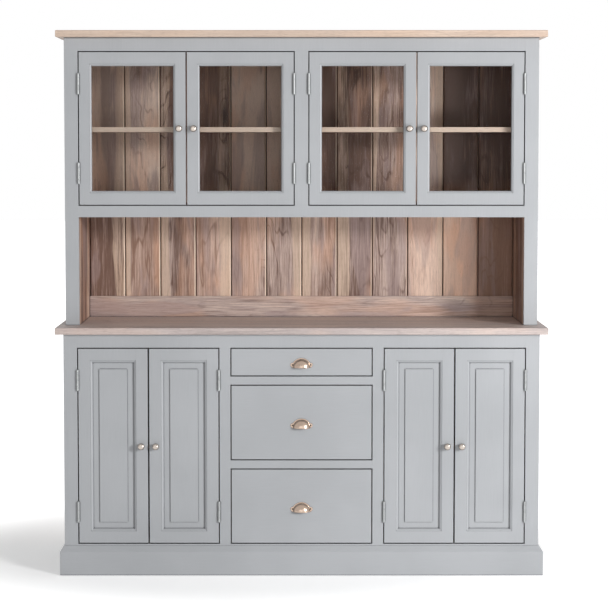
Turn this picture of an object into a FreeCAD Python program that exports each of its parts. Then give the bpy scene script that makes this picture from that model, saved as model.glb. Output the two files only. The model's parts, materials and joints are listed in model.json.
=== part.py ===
import FreeCAD, Part
import os
import Sketcher

# A two-part buffet cabinet: a base with four panelled doors and three drawers, and a hutch with
# an open niche and four glazed doors. X runs to the right, Y to the back and Z up. The origin is
# on the floor, in the middle of the worktop's footprint. Lengths are in millimetres.

SIZES = {
    # overall
    "cabinet_width": 1800,
    "cabinet_depth": 450,
    "cabinet_height": 2000,
    "carcass_width": 1744,
    # boards
    "board_thickness": 18,
    "side_thickness": 22,
    "back_thickness": 12,
    "frame_thickness": 20,
    "housing_depth": 5,
    "edge_rounding": 3,
    # worktop and base front
    "worktop_thickness": 25,
    "worktop_top": 915,
    "worktop_overhang": 25,
    "stile_width": 50,
    "muntin_width": 40,
    "base_top_rail": 50,
    "drawer_rail": 30,
    "base_opening_bottom": 114,
    "top_drawer_opening": 106,
    "bottom_rail_foot": 60,
    # plinth
    "plinth_height": 108,
    "plinth_projection": 16,
    "plinth_bevel_width": 15,
    "plinth_bevel_height": 20,
    # hutch
    "hutch_setback": 100,
    "niche_height": 400,
    "middle_rail": 42,
    "hutch_top_rail": 50,
    "middle_stile": 50,
    "top_board_thickness": 25,
    "top_board_overhang": 28,
    "back_rail_height": 80,
    "hutch_shelf_share": 0.51,
    "base_shelf_share": 0.5,
    "shelf_setback": 20,
    # tongue-and-groove boards
    "tongue_length": 5,
    "tongue_thickness": 3,
    "tongue_back": 3,
    "vee_depth": 5,
    "backboard_gap": 1.5,
    # doors
    "door_gap": 4,
    "meeting_gap": 5.5,
    "stop_height": 6,
    "stop_depth": 12,
    "stop_clearance": 0.3,
    "panel_stile_flat": 43,
    "panel_bead": 9,
    "glass_stile_flat": 38,
    "glass_rail_flat": 43,
    "glass_bead": 8,
    "bead_step": 1.5,
    "bead_lip": 0.5,
    "groove_depth": 8,
    "groove_width": 5,
    "tenon_length": 25,
    "tenon_thickness": 7,
    "tenon_face": 7,
    "tenon_shoulder": 8,
    "panel_play": 1,
    "panel_fit": 0.1,
    "panel_bevel": 24,
    "panel_rise": 0.5,
    "panel_step": 4,
    "pane_thickness": 3,
    "pane_play": 1,
    "glazing_bead": 7,
    # hinges
    "hinge_length": 76,
    "lower_hinge_share": 0.108,
    "upper_hinge_share": 0.139,
    "knuckle_radius": 4.5,
    "pin_radius": 2,
    "pin_fit": 0.05,
    "knuckle_play": 0.3,
    "leaf_thickness": 1.3,
    "leaf_back_gap": 2,
    "pin_button_radius": 3.2,
    "pin_button": 1.2,
    # knobs
    "knob_radius": 12.5,
    "knob_projection": 25,
    "knob_neck_radius": 4.5,
    "knob_rose_radius": 8,
    "knob_rose_thickness": 2.5,
    "knob_rose_slope": 2,
    "knob_inset": 24,
    # drawers
    "drawer_wall": 12,
    "drawer_bottom": 6,
    "drawer_bottom_raise": 8,
    "drawer_side_play": 1,
    "drawer_back_space": 18,
    "drawer_headroom": 12,
    "drawer_lift": 0.3,
    "tail_share": 0.62,
    "tail_slope_share": 0.17,
    "runner_width": 25,
    "runner_thickness": 18,
    "guide_height": 30,
    "runner_stop_height": 12,
    "runner_stop_play": 0.5,
    "bay_board_drop": 18,
    # cup pulls
    "cup_width": 66,
    "cup_height": 32,
    "cup_depth": 25,
    "cup_wall": 1.6,
    "cup_flange": 2.5,
    "cup_flange_thickness": 1.8,
    "cup_drop": 20,
    "ear_radius": 7,
    "ear_reach": 33.5,
    "ear_rise": 10,
    "ear_hole_radius": 2,
    # every cut runs past the wood by this much
    "overrun": 5,
}

BACKBOARD_COUNT = 12
LOWER_DRAWERS = 2
TAIL_COUNTS = (2, 5, 5)
KNUCKLE_COUNT = 5
SHEET = "Sizes"

doc = FreeCAD.newDocument("BuffetCabinet")
subparts = []


class Size:
    """A length: its expression in the sheet's names, and its value, so both stay in step."""

    def __init__(self, text, value):
        self.text = text
        self.value = value

    def joined(self, sign, other, value):
        return Size("(%s %s %s)" % (self.text, sign, text_of(other)), value)

    def __add__(self, other):
        return self.joined("+", other, self.value + value_of(other))

    def __sub__(self, other):
        return self.joined("-", other, self.value - value_of(other))

    def __mul__(self, other):
        return self.joined("*", other, self.value * value_of(other))

    def __truediv__(self, other):
        return self.joined("/", other, self.value / value_of(other))

    def __neg__(self):
        return Size("(0 - %s)" % self.text, -self.value)


def text_of(item):
    return item.text if isinstance(item, Size) else repr(item)


def value_of(item):
    return item.value if isinstance(item, Size) else item


def fill_sheet():
    """Write the driving sizes into the sheet and give back a Size for each name."""
    sheet = doc.addObject("Spreadsheet::Sheet", SHEET)
    for row, (name, value) in enumerate(SIZES.items(), start=1):
        sheet.set("A%d" % row, name)
        sheet.set("B%d" % row, str(value))
        sheet.setAlias("B%d" % row, name)
    doc.recompute()
    return {name: Size("%s.%s" % (SHEET, name), value) for name, value in SIZES.items()}


cell = fill_sheet()
ZERO = Size("0", 0)


# Helpers for the document's objects


def bind(item, path, size):
    item.setExpression(path, text_of(size))


def place(item, x=ZERO, y=ZERO, z=ZERO, turn=None):
    """Put an object at x, y, z, turned by an optional rotation."""
    if turn is not None:
        item.Placement = FreeCAD.Placement(FreeCAD.Vector(), turn)
    for axis, size in zip("xyz", (x, y, z)):
        bind(item, "Placement.Base." + axis, size)
    return item


def board(name, x, y, z):
    """A plain board between low and high places along each axis."""
    box = doc.addObject("Part::Box", name)
    for side, (low, high) in zip(("Length", "Width", "Height"), (x, y, z)):
        bind(box, side, high - low)
    return place(box, x[0], y[0], z[0])


def tapered(name, y, near_reach, far_reach):
    """A block whose reach in X and Z changes evenly from its near face to its far face."""
    block = doc.addObject("Part::Wedge", name)
    (near_x, near_z), (far_x, far_z) = near_reach, far_reach
    for letter, (least, most) in {"X": near_x, "Z": near_z, "X2": far_x, "Z2": far_z, "Y": y}.items():
        bind(block, letter + "min", least)
        bind(block, letter + "max", most)
    return block


def about(middle, width):
    """The low and high places of a width that lies centred on a middle."""
    return (middle - width / 2, middle + width / 2)


def rod(name, radius, height, x=ZERO, y=ZERO, z=ZERO, turn=None):
    cylinder = doc.addObject("Part::Cylinder", name)
    bind(cylinder, "Radius", radius)
    bind(cylinder, "Height", height)
    return place(cylinder, x, y, z, turn)


def cut(name, base, tools):
    """The base with every tool taken out of it."""
    tool = tools[0] if len(tools) == 1 else fuse(name + "_waste", tools)
    result = doc.addObject("Part::Cut", name)
    result.Base = base
    result.Tool = tool
    return result


def fuse(name, pieces):
    result = doc.addObject("Part::MultiFuse", name)
    result.Shapes = pieces
    result.Refine = True
    return result


def common(name, one, other):
    result = doc.addObject("Part::Common", name)
    result.Base = one
    result.Tool = other
    return result


def mirrored(name, source, axis="x", middle=ZERO):
    """The source's mirror image across the plane square to an axis at a middle."""
    image = doc.addObject("Part::Mirroring", name)
    image.Source = source
    image.Normal = FreeCAD.Vector(*[1.0 if axis == letter else 0.0 for letter in "xyz"])
    bind(image, "Base." + axis, middle)
    return image


def subpart(label, pieces, x=ZERO, y=ZERO, z=ZERO):
    """One node of the cabinet: its solids side by side, set in place together."""
    group = doc.addObject("Part::Compound", "node_" + label)
    group.Links = pieces
    group.Label = label
    place(group, x, y, z)
    subparts.append(group)
    return group


def sketch_on(body, name, role, outlines, offset=None):
    """A sketch on one of the body's own origin planes, with one closed line per outline."""
    sketch = body.newObject("Sketcher::SketchObject", name)
    plane = [item for item in body.Origin.OriginFeatures if item.Role == role][0]
    sketch.AttachmentSupport = [(plane, "")]
    sketch.MapMode = "FlatFace"
    if offset is not None:
        bind(sketch, "AttachmentOffset.Base.z", offset)
    for corners in outlines:
        draw(sketch, corners)
    return sketch


def hold(sketch, kind, element, point, size):
    """Hold one coordinate of a sketch point at a size counted from the origin."""
    index = sketch.addConstraint(Sketcher.Constraint(kind, -1, 1, element, point, size.value))
    sketch.setExpression("Constraints[%d]" % index, size.text)


def draw(sketch, corners):
    """Draw a closed line. A corner is (u, v), or (u, v, cu, cv) where a quarter round about
    the centre (cu, cv) leads on to the next corner instead of a straight line."""
    up = FreeCAD.Vector(0, 0, 1)
    ends = []
    for corner, following in zip(corners, corners[1:] + corners[:1]):
        start = FreeCAD.Vector(corner[0].value, corner[1].value)
        end = FreeCAD.Vector(following[0].value, following[1].value)
        if len(corner) == 2:
            element = sketch.addGeometry(Part.LineSegment(start, end), False)
            ends.append((element, 1, 2))
            continue
        centre = FreeCAD.Vector(corner[2].value, corner[3].value)
        reach = (start - centre).Length
        circle = Part.Circle(centre, up, reach)
        first = circle.parameter(start)
        last = circle.parameter(end)
        forward = (start - centre).cross(end - centre).z > 0
        arc = Part.ArcOfCircle(circle, first, last) if forward else Part.ArcOfCircle(circle, last, first)
        element = sketch.addGeometry(arc, False)
        ends.append((element, 1, 2) if forward else (element, 2, 1))
        hold(sketch, "DistanceX", element, 3, corner[2])
    for (element, _, last), (following, first, _) in zip(ends, ends[1:] + ends[:1]):
        sketch.addConstraint(Sketcher.Constraint("Coincident", element, last, following, first))
    for (element, first, _), corner in zip(ends, corners):
        hold(sketch, "DistanceX", element, first, corner[0])
        hold(sketch, "DistanceY", element, first, corner[1])


def pad(body, name, sketch, length):
    feature = body.newObject("PartDesign::Pad", name)
    feature.Profile = sketch
    bind(feature, "Length", length)
    return feature


def pocket_through(body, name, sketch, upwards=False):
    """Cut the sketch's outlines right through, and make sure that wood came away."""
    doc.recompute()
    before = body.Shape.Volume
    feature = body.newObject("PartDesign::Pocket", name)
    feature.Profile = sketch
    feature.Type = "ThroughAll"
    feature.Reversed = upwards
    doc.recompute()
    if not body.Shape.Volume < before:
        raise RuntimeError(name + " cut nothing")
    return feature


def rectangle(u, v):
    """The four corners of a rectangle between low and high places."""
    return [(u[0], v[0]), (u[1], v[0]), (u[1], v[1]), (u[0], v[1])]


def finish_edges(body, kind, name, test, **sizes):
    """Round or bevel those edges of the body so far that pass the test."""
    doc.recompute()
    base = body.Tip
    edges = ["Edge%d" % index for index, edge in enumerate(base.Shape.Edges, start=1) if test(edge)]
    feature = body.newObject(kind, name)
    feature.Base = (base, edges)
    for path, size in sizes.items():
        bind(feature, path, size)
    return feature


def near(one, other):
    """Whether two coordinates are the same place, to within rounding."""
    return round(one - other, 6) == 0


# Places that several pieces share

half_width = cell["cabinet_width"] / 2
half_carcass = cell["carcass_width"] / 2
front = -(cell["cabinet_depth"] / 2)
back = cell["cabinet_depth"] / 2
base_front = front + cell["worktop_overhang"]
base_inner = base_front + cell["frame_thickness"]
hutch_front = front + cell["hutch_setback"]
hutch_inner = hutch_front + cell["frame_thickness"]
back_inner = back - cell["back_thickness"]
worktop_under = cell["worktop_top"] - cell["worktop_thickness"]
base_opening_top = worktop_under - cell["base_top_rail"]
inner_half = half_carcass - cell["stile_width"]
base_opening = (inner_half * 2 - cell["muntin_width"] * 2) / 3
muntin_middle = base_opening / 2 + cell["muntin_width"] / 2
partition_face = muntin_middle - cell["board_thickness"] / 2
side_face = half_carcass - cell["side_thickness"]
niche_top = cell["worktop_top"] + cell["niche_height"]
hutch_opening_bottom = niche_top + cell["middle_rail"]
top_board_under = cell["cabinet_height"] - cell["top_board_thickness"]
hutch_opening_top = top_board_under - cell["hutch_top_rail"]
hutch_opening = inner_half - cell["middle_stile"] / 2


# Worktop and top board


def eased_board(label, y, z):
    """A full-width board whose front and side edges are lightly rounded."""
    body = doc.addObject("PartDesign::Body", label + "_body")
    outline = rectangle((-half_width, half_width), y)
    pad(body, label + "_pad", sketch_on(body, label + "_plan", "XY_Plane", [outline]), z[1] - z[0])

    def eased(edge):
        level = near(edge.BoundBox.ZLength, 0)
        return level and not near(edge.BoundBox.Center.y, y[1].value)

    finish_edges(body, "PartDesign::Fillet", label + "_rounding", eased, Radius=cell["edge_rounding"])
    subpart(label, [place(body, z=z[0])])


eased_board("worktop", (front, back), (worktop_under, cell["worktop_top"]))
top_board_front = hutch_front - cell["top_board_overhang"]
eased_board("hutch_top", (top_board_front, back), (top_board_under, cell["cabinet_height"]))


# Plinth: three boards, mitred at the front corners, with a bevelled top outer edge

plinth_half = half_carcass + cell["plinth_projection"]
plinth_front = base_front - cell["plinth_projection"]


def plinth_section(outer, inner, bevel):
    """The outline from the floor up, with the outer edge of the top bevelled off."""
    top = cell["plinth_height"]
    bevel_foot = top - cell["plinth_bevel_height"]
    return [(outer, ZERO), (inner, ZERO), (inner, top), (bevel, top), (outer, bevel_foot)]


def plinth_board(name, role, start, length, section, waste):
    """A board along its length, with its mitres cut downwards through it."""
    body = doc.addObject("PartDesign::Body", name)
    pad(body, name + "_pad", sketch_on(body, name + "_section", role, [section], start), length)
    mitres = sketch_on(body, name + "_waste", "XY_Plane", waste)
    pocket_through(body, name + "_mitres", mitres, upwards=True)
    return body


over = cell["overrun"]
corner_low = (-plinth_half - over, plinth_front - over)
corner_high = (-half_carcass + over, base_front + over)
outside = [corner_low, (corner_low[0], corner_high[1]), corner_high]
front_section = plinth_section(plinth_front, base_front, plinth_front + cell["plinth_bevel_width"])
plinth_front_board = plinth_board(
    "plinth_front_board",
    "YZ_Plane",
    -plinth_half,
    plinth_half * 2,
    front_section,
    [outside, [(-x, y) for x, y in outside]],
)
side_section = plinth_section(-plinth_half, -half_carcass, cell["plinth_bevel_width"] - plinth_half)
plinth_left_board = plinth_board(
    "plinth_left_board",
    "XZ_Plane",
    -back,
    back - plinth_front,
    side_section,
    [[corner_low, (corner_high[0], corner_low[1]), corner_high]],
)
plinth_right_board = mirrored("plinth_right_board", plinth_left_board)
subpart("base_plinth", [plinth_front_board, plinth_left_board, plinth_right_board])


# Base carcass


def both_sides(name, x, y, z):
    """A board on the left between two distances from the middle, and its twin on the right."""
    left = board(name + "_left", (-x[1], -x[0]), y, z)
    return [left, mirrored(name + "_right", left)]


floor_top = cell["base_opening_bottom"] + cell["stop_height"]
bay_top = cell["base_opening_bottom"] - cell["bay_board_drop"]
base_shelf_top = floor_top + (base_opening_top - floor_top) * cell["base_shelf_share"]
partition_half = (partition_face, partition_face + cell["board_thickness"])
behind_rails = (cell["bottom_rail_foot"], worktop_under)
base_side_x = (side_face, half_carcass)
subpart("base_sides", both_sides("base_side", base_side_x, (base_inner, back), (ZERO, worktop_under)))
subpart("base_partitions", both_sides("partition", partition_half, (base_inner, back_inner), behind_rails))
cupboard_floors = both_sides(
    "cupboard_floor",
    (partition_half[1], side_face),
    (base_inner + cell["stop_clearance"], back_inner),
    (floor_top - cell["board_thickness"], floor_top),
)
bay_board = board(
    "bay_board",
    (-partition_face, partition_face),
    (base_inner, back_inner),
    (bay_top - cell["board_thickness"], bay_top),
)
subpart("base_floor", cupboard_floors + [bay_board])
subpart("base_back", [board("back_panel", (-side_face, side_face), (back_inner, back), behind_rails)])
subpart(
    "base_shelves",
    both_sides(
        "base_shelf",
        (partition_half[1], side_face),
        (base_inner + cell["shelf_setback"], back_inner),
        (base_shelf_top - cell["board_thickness"], base_shelf_top),
    ),
)

# The lower two drawers share what the top drawer and the rails leave of the opening's height
drawer_tops = [base_opening_top]
drawer_bottoms = [base_opening_top - cell["top_drawer_opening"]]
lower_drawer_opening = (
    drawer_bottoms[0] - cell["base_opening_bottom"] - cell["drawer_rail"] * LOWER_DRAWERS
) / LOWER_DRAWERS
for _ in range(LOWER_DRAWERS):
    drawer_tops.append(drawer_bottoms[-1] - cell["drawer_rail"])
    drawer_bottoms.append(drawer_tops[-1] - lower_drawer_opening)

frame_y = (base_front, base_inner)
base_frame = both_sides("base_stile", (inner_half, half_carcass), frame_y, (ZERO, worktop_under))
muntin_x = (base_opening / 2, base_opening / 2 + cell["muntin_width"])
base_frame += both_sides("muntin", muntin_x, frame_y, (cell["base_opening_bottom"], base_opening_top))
rail_x = (-inner_half, inner_half)
bottom_rail_z = (cell["bottom_rail_foot"], cell["base_opening_bottom"])
base_frame.append(board("base_top_rail", rail_x, frame_y, (base_opening_top, worktop_under)))
base_frame.append(board("base_bottom_rail", rail_x, frame_y, bottom_rail_z))
for number in range(LOWER_DRAWERS):
    base_frame.append(
        board(
            "drawer_rail_%d" % (number + 1),
            (-(base_opening / 2), base_opening / 2),
            frame_y,
            (drawer_tops[number + 1], drawer_bottoms[number]),
        )
    )
subpart("base_face_frame", base_frame)


# Drawer runners: a foot under each drawer side, a guide beside it and a stop behind it

drawer_depth = back_inner - base_inner - cell["drawer_back_space"]


def runner(name, top):
    foot_x = (partition_face - cell["runner_width"], partition_face)
    guide_x = (base_opening / 2, partition_face)
    stop_front = base_inner + drawer_depth + cell["runner_stop_play"]
    y = (base_inner, back_inner)
    pieces = both_sides(name + "_foot", foot_x, y, (top - cell["runner_thickness"], top))
    pieces += both_sides(name + "_guide", guide_x, y, (top, top + cell["guide_height"]))
    stop_x = (foot_x[0], guide_x[0])
    stop_z = (top, top + cell["runner_stop_height"])
    pieces += both_sides(name + "_stop", stop_x, (stop_front, back_inner), stop_z)
    return pieces


runners = []
for number, bottom in enumerate(drawer_bottoms, start=1):
    runners += runner("runner_%d" % number, bottom)
runners += both_sides(
    "kicker",
    (partition_face - cell["runner_width"], partition_face),
    (base_inner, back_inner),
    (base_opening_top, base_opening_top + cell["runner_thickness"]),
)
subpart("drawer_runners", runners)


# Hutch carcass

hutch_z = (cell["worktop_top"], top_board_under)
hutch_floor_top = hutch_opening_bottom + cell["stop_height"]
hutch_floor_z = (hutch_floor_top - cell["board_thickness"], hutch_floor_top)
hutch_opening_height = hutch_opening_top - hutch_opening_bottom
hutch_shelf_top = hutch_opening_bottom + hutch_opening_height * cell["hutch_shelf_share"]
hutch_shelf_z = (hutch_shelf_top - cell["board_thickness"], hutch_shelf_top)
shelf_y = (hutch_inner + cell["shelf_setback"], back_inner)
floor_y = (hutch_inner + cell["stop_clearance"], back_inner)
housed_half = inner_half + cell["housing_depth"]

left_side = board("hutch_side_left", (-half_carcass, -side_face), (hutch_inner, back), hutch_z)
left_lining = cut(
    "hutch_lining_left",
    board("hutch_lining_blank", (-side_face, -inner_half), (hutch_inner, back), hutch_z),
    [
        board("floor_housing", (-housed_half, -inner_half + cell["overrun"]), floor_y, hutch_floor_z),
        board("shelf_housing", (-housed_half, -inner_half + cell["overrun"]), shelf_y, hutch_shelf_z),
    ],
)
right_side = mirrored("hutch_side_right", left_side)
right_lining = mirrored("hutch_lining_right", left_lining)
subpart("hutch_sides", [left_side, left_lining, right_side, right_lining])
subpart("hutch_floor", [board("niche_ceiling", (-housed_half, housed_half), floor_y, hutch_floor_z)])

partition_x = about(ZERO, cell["board_thickness"])
divider_z = (hutch_floor_top, top_board_under)
partition_core = about(ZERO, cell["board_thickness"] - cell["housing_depth"] * 2)
partition_housings = both_sides(
    "partition_housing", (partition_core[1], partition_x[1] + cell["overrun"]), shelf_y, hutch_shelf_z
)
divider = cut(
    "hutch_divider",
    board("hutch_divider_blank", partition_x, (hutch_inner, back_inner), divider_z),
    partition_housings,
)

# Strips that stop the glazed doors, at both sides of each opening and along its top
stop_y = (floor_y[0], floor_y[0] + cell["stop_depth"])
stop_top = hutch_opening_top - cell["stop_height"]
stops = both_sides(
    "outer_stop", (inner_half - cell["stop_height"], inner_half), stop_y, (hutch_floor_top, stop_top)
)
stops += both_sides(
    "middle_stop",
    (partition_x[1], cell["middle_stile"] / 2 + cell["stop_height"]),
    stop_y,
    (hutch_floor_top, stop_top),
)
stops += both_sides("top_stop", (partition_x[1], inner_half), stop_y, (stop_top, top_board_under))
subpart("hutch_partition", [divider] + stops)
subpart("hutch_shelves", both_sides("hutch_shelf", (partition_core[1], housed_half), shelf_y, hutch_shelf_z))

hutch_frame_y = (hutch_front, hutch_inner)
middle_stile_z = (hutch_opening_bottom, hutch_opening_top)
hutch_frame = both_sides("hutch_stile", (inner_half, half_carcass), hutch_frame_y, hutch_z)
hutch_frame += [
    board("middle_stile", about(ZERO, cell["middle_stile"]), hutch_frame_y, middle_stile_z),
    board("middle_rail", rail_x, hutch_frame_y, (niche_top, hutch_opening_bottom)),
    board("hutch_top_rail", rail_x, hutch_frame_y, (hutch_opening_top, top_board_under)),
]
subpart("hutch_face_frame", hutch_frame)


# Tongue-and-groove backboards with a V joint at each edge


def backboards():
    """Boards side by side across the inner width. Each board's right edge has the tongue and
    its left edge the groove; the first has no groove and the last no tongue."""
    width = inner_half * 2 / BACKBOARD_COUNT
    vee = cell["vee_depth"]
    half_joint = cell["backboard_gap"] / 2
    front, rear = (back - cell["tongue_back"] - cell["tongue_thickness"], back - cell["tongue_back"])
    boards = []
    for number in range(BACKBOARD_COUNT):
        left = -inner_half + width * number
        right = left + width
        left_lip = left + half_joint
        right_lip = right - half_joint
        outline = [(left_lip + vee, back_inner), (right_lip - vee, back_inner), (right_lip, back_inner + vee)]
        outline += [(right_lip, front)]
        if number < BACKBOARD_COUNT - 1:
            tip = right + cell["tongue_length"]
            outline += [(tip, front), (tip, rear)]
        outline += [(right, rear if number < BACKBOARD_COUNT - 1 else front), (right, back), (left, back)]
        if number > 0:
            deep = left + cell["tongue_length"]
            outline += [(left, rear), (deep, rear), (deep, front)]
        else:
            outline += [(left, front)]
        outline += [(left_lip, front), (left_lip, back_inner + vee)]
        body = doc.addObject("PartDesign::Body", "backboard_%02d" % (number + 1))
        plan = sketch_on(body, "backboard_plan_%02d" % (number + 1), "XY_Plane", [outline])
        pad(body, "backboard_pad_%02d" % (number + 1), plan, hutch_z[1] - hutch_z[0])
        boards.append(place(body, z=hutch_z[0]))
    return boards


subpart("hutch_backboards", backboards())
subpart(
    "hutch_back_rail",
    [
        board(
            "niche_rail",
            (-inner_half, inner_half),
            (back_inner - cell["back_thickness"], back_inner),
            (cell["worktop_top"], cell["worktop_top"] + cell["back_rail_height"]),
        )
    ],
)


# Door frames. A bar runs along its own Z, its outer edge at X zero and its face at Y zero. What
# lies past its flat is mitred at both ends, so that the moulded strips meet on the diagonal.

RAIL_TURN = FreeCAD.Rotation(FreeCAD.Vector(0, 1, 0), -90)


def bar(name, length, section, waste):
    """A bar of one section with the same waste, an outline in X and Z, cut off both ends."""
    body = doc.addObject("PartDesign::Body", name)
    pad(body, name + "_pad", sketch_on(body, name + "_section", "XY_Plane", [section]), length)
    both = [waste, [(x, length - z) for x, z in waste]]
    pocket_through(body, name + "_ends", sketch_on(body, name + "_waste", "XZ_Plane", both))
    return body


def ring(kind, width, height, stile, rail):
    """The four bars round an opening: two along Z, and two turned to run along X."""
    place(stile, -(width / 2))
    place(rail, width / 2, turn=RAIL_TURN)
    right = mirrored(kind + "_right", stile)
    top = mirrored(kind + "_top", rail, "z", height / 2)
    return [stile, right, rail, top]


def stile_bar(kind, height, section, flat, rail_flat, bead):
    """A stile as high as the door, with a mortise for each rail's tenon."""
    far = bead + cell["overrun"]
    start = -cell["overrun"]
    waste = [(flat, start), (flat + far, start), (flat + far, rail_flat + far), (flat, rail_flat)]
    body = bar(kind + "_stile", height, section, waste)
    low = cell["tenon_shoulder"]
    size = rail_flat - low * 2
    for end, bottom in (("low", low), ("high", height - low - size)):
        mortise = body.newObject("PartDesign::SubtractiveBox", "%s_mortise_%s" % (kind, end))
        bind(mortise, "Length", cell["tenon_length"] + cell["overrun"])
        bind(mortise, "Width", cell["tenon_thickness"])
        bind(mortise, "Height", size)
        place(mortise, flat - cell["tenon_length"], cell["tenon_face"], bottom)
    return body


def rail_bar(kind, width, section, flat, stile_flat, bead):
    """A rail between the stiles, with a tenon at each end."""
    far = bead + cell["overrun"]
    start = -cell["overrun"]
    waste = [
        (start, start),
        (flat + far, start),
        (flat + far, stile_flat + far),
        (flat, stile_flat),
        (start, stile_flat),
    ]
    body = bar(kind + "_rail", width, section, waste)
    low = cell["tenon_shoulder"]
    outline = rectangle((low, flat - low), (cell["tenon_face"], cell["tenon_face"] + cell["tenon_thickness"]))
    reach = stile_flat - cell["tenon_length"]
    tenons = sketch_on(body, kind + "_tenons", "XY_Plane", [outline], reach)
    pad(body, kind + "_tenon_pad", tenons, width - reach * 2)
    return body


def door_frame(kind, width, height, section_of, stile_flat, rail_flat, bead):
    stile = stile_bar(kind, height, section_of(stile_flat), stile_flat, rail_flat, bead)
    rail = rail_bar(kind, width, section_of(rail_flat), rail_flat, stile_flat, bead)
    return ring(kind, width, height, stile, rail)


def ovolo(flat, bead):
    """The face, the step and the quarter round, from the outer edge inwards."""
    step = cell["bead_step"]
    return [(ZERO, ZERO), (flat, ZERO), (flat, step, flat, step + bead), (flat + bead, step + bead)]


def groove_y():
    start = cell["bead_step"] + cell["panel_bead"] + cell["bead_lip"]
    return (start, start + cell["groove_width"])


def panel_section(flat):
    """The section of a bar that is grooved for a panel."""
    inner = flat + cell["panel_bead"]
    floor = inner - cell["groove_depth"]
    low, high = groove_y()
    thickness = cell["frame_thickness"]
    groove = [(inner, low), (floor, low), (floor, high), (inner, high)]
    return ovolo(flat, cell["panel_bead"]) + groove + [(inner, thickness), (ZERO, thickness)]


def rabbet_depth():
    return cell["bead_step"] + cell["glass_bead"] + cell["bead_lip"]


def glass_section(flat):
    """The section of a bar that is rabbeted behind its bead for a pane."""
    depth = rabbet_depth()
    thickness = cell["frame_thickness"]
    return ovolo(flat, cell["glass_bead"]) + [
        (flat + cell["glass_bead"], depth),
        (flat, depth),
        (flat, thickness),
        (ZERO, thickness),
    ]


def glazing_bars(width, height):
    """The four mitred strips that hold a pane in from behind, each with a sloping inner face."""

    def strip(name, length, flat, other_flat):
        inner = flat + cell["glazing_bead"]
        depth = rabbet_depth() + cell["pane_thickness"]
        slope = cell["glazing_bead"] / 2
        section = [
            (flat, depth),
            (inner, depth),
            (inner, depth + cell["bead_step"]),
            (flat + slope, cell["frame_thickness"]),
            (flat, cell["frame_thickness"]),
        ]
        far = cell["glazing_bead"] + cell["overrun"]
        before = -cell["overrun"]
        waste = [
            (flat + before, before),
            (flat + far, before),
            (flat + far, other_flat + far),
            (flat + before, other_flat + before),
        ]
        return bar(name, length, section, waste)

    stile_flat = cell["glass_stile_flat"]
    rail_flat = cell["glass_rail_flat"]
    upright = strip("glazing_upright", height, stile_flat, rail_flat)
    crossbar = strip("glazing_crossbar", width, rail_flat, stile_flat)
    return ring("glazing", width, height, upright, crossbar)


def raised_panel(width, height):
    """A panel whose tongue floats in the frame's groove, with a wide bevel up to a raised field."""
    edge = cell["panel_stile_flat"] + cell["panel_bead"]
    into = cell["groove_depth"] - cell["panel_play"]
    low, high = groove_y()
    tongue_y = (low + cell["panel_fit"], high - cell["panel_fit"])
    bevel_top = tongue_y[0] - cell["panel_rise"]

    def rectangle_inside(inset):
        return ((-(width / 2) + inset, width / 2 - inset), (inset, height - inset))

    tongue_x, tongue_z = rectangle_inside(edge - into)
    field_x, field_z = rectangle_inside(edge + cell["panel_bevel"])
    sight_x, sight_z = rectangle_inside(edge)
    bevel_y = (bevel_top, tongue_y[0])
    bevel = tapered("panel_bevel", bevel_y, (field_x, field_z), (sight_x, sight_z))
    field = board("panel_field", field_x, (bevel_top - cell["panel_step"], bevel_top), field_z)
    return fuse("raised_panel", [board("panel_tongue", tongue_x, tongue_y, tongue_z), bevel, field])


# Knob: a turned rose, neck and flattened head with a round rim, about the door's own -Y


def turned_knob():
    body = doc.addObject("PartDesign::Body", "turned_knob")
    neck = cell["knob_neck_radius"]
    rose = cell["knob_rose_radius"]
    rim = cell["knob_radius"] - neck
    end = -cell["knob_projection"]
    widest = end + rim
    rose_face = -cell["knob_rose_thickness"]
    profile = [
        (ZERO, ZERO),
        (rose, ZERO),
        (rose, rose_face),
        (neck, rose_face - cell["knob_rose_slope"]),
        (neck, widest + rim, neck, widest),
        (cell["knob_radius"], widest, neck, widest),
        (neck, end),
        (ZERO, end),
    ]
    sketch = sketch_on(body, "knob_profile", "XY_Plane", [profile])
    turning = body.newObject("PartDesign::Revolution", "knob_turning")
    turning.Profile = sketch
    turning.ReferenceAxis = (sketch, ["V_Axis"])
    turning.Angle = 360
    return body


# Butt hinge. Its own Z is the pin's axis. The frame's leaf lies on the left of the gap, the
# door's leaf on the right, and their knuckles take turns along the pin.

knuckle_pitch = cell["hinge_length"] / KNUCKLE_COUNT
leaf_back = cell["knuckle_radius"] + cell["frame_thickness"] - cell["leaf_back_gap"]
half_play = cell["knuckle_play"] / 2
half_gap = cell["door_gap"] / 2


def hinge_leaf(name, x, first, bore):
    """A leaf between two places in X, with every second knuckle from the first one on."""
    clear = cell["knuckle_radius"] + cell["knuckle_play"]
    wall_middle = (bore + cell["knuckle_radius"]) / 2
    pieces = [board(name + "_plate", x, (clear, leaf_back), (half_play, cell["hinge_length"] - half_play))]
    for number in range(first, KNUCKLE_COUNT, 2):
        low = knuckle_pitch * number + half_play
        high = knuckle_pitch * (number + 1) - half_play
        pieces.append(board("%s_tab_%d" % (name, number), x, (wall_middle, clear), (low, high)))
        pieces.append(rod("%s_knuckle_%d" % (name, number), cell["knuckle_radius"], high - low, z=low))
    hole = rod(name + "_bore", bore, cell["hinge_length"] + cell["overrun"] * 2, z=-cell["overrun"])
    return cut(name, fuse(name + "_blank", pieces), [hole])


def hinge_pin():
    """A pin with a small button at each end, which keeps it in the knuckles."""
    length = cell["hinge_length"] - half_play * 2
    radius = cell["pin_button_radius"]
    thickness = cell["pin_button"]
    buttons = [
        rod("pin_button_low", radius, thickness, z=half_play - thickness),
        rod("pin_button_high", radius, thickness, z=half_play + length),
    ]
    return fuse("hinge_pin", [rod("pin_rod", cell["pin_radius"], length, z=half_play)] + buttons)


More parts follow.
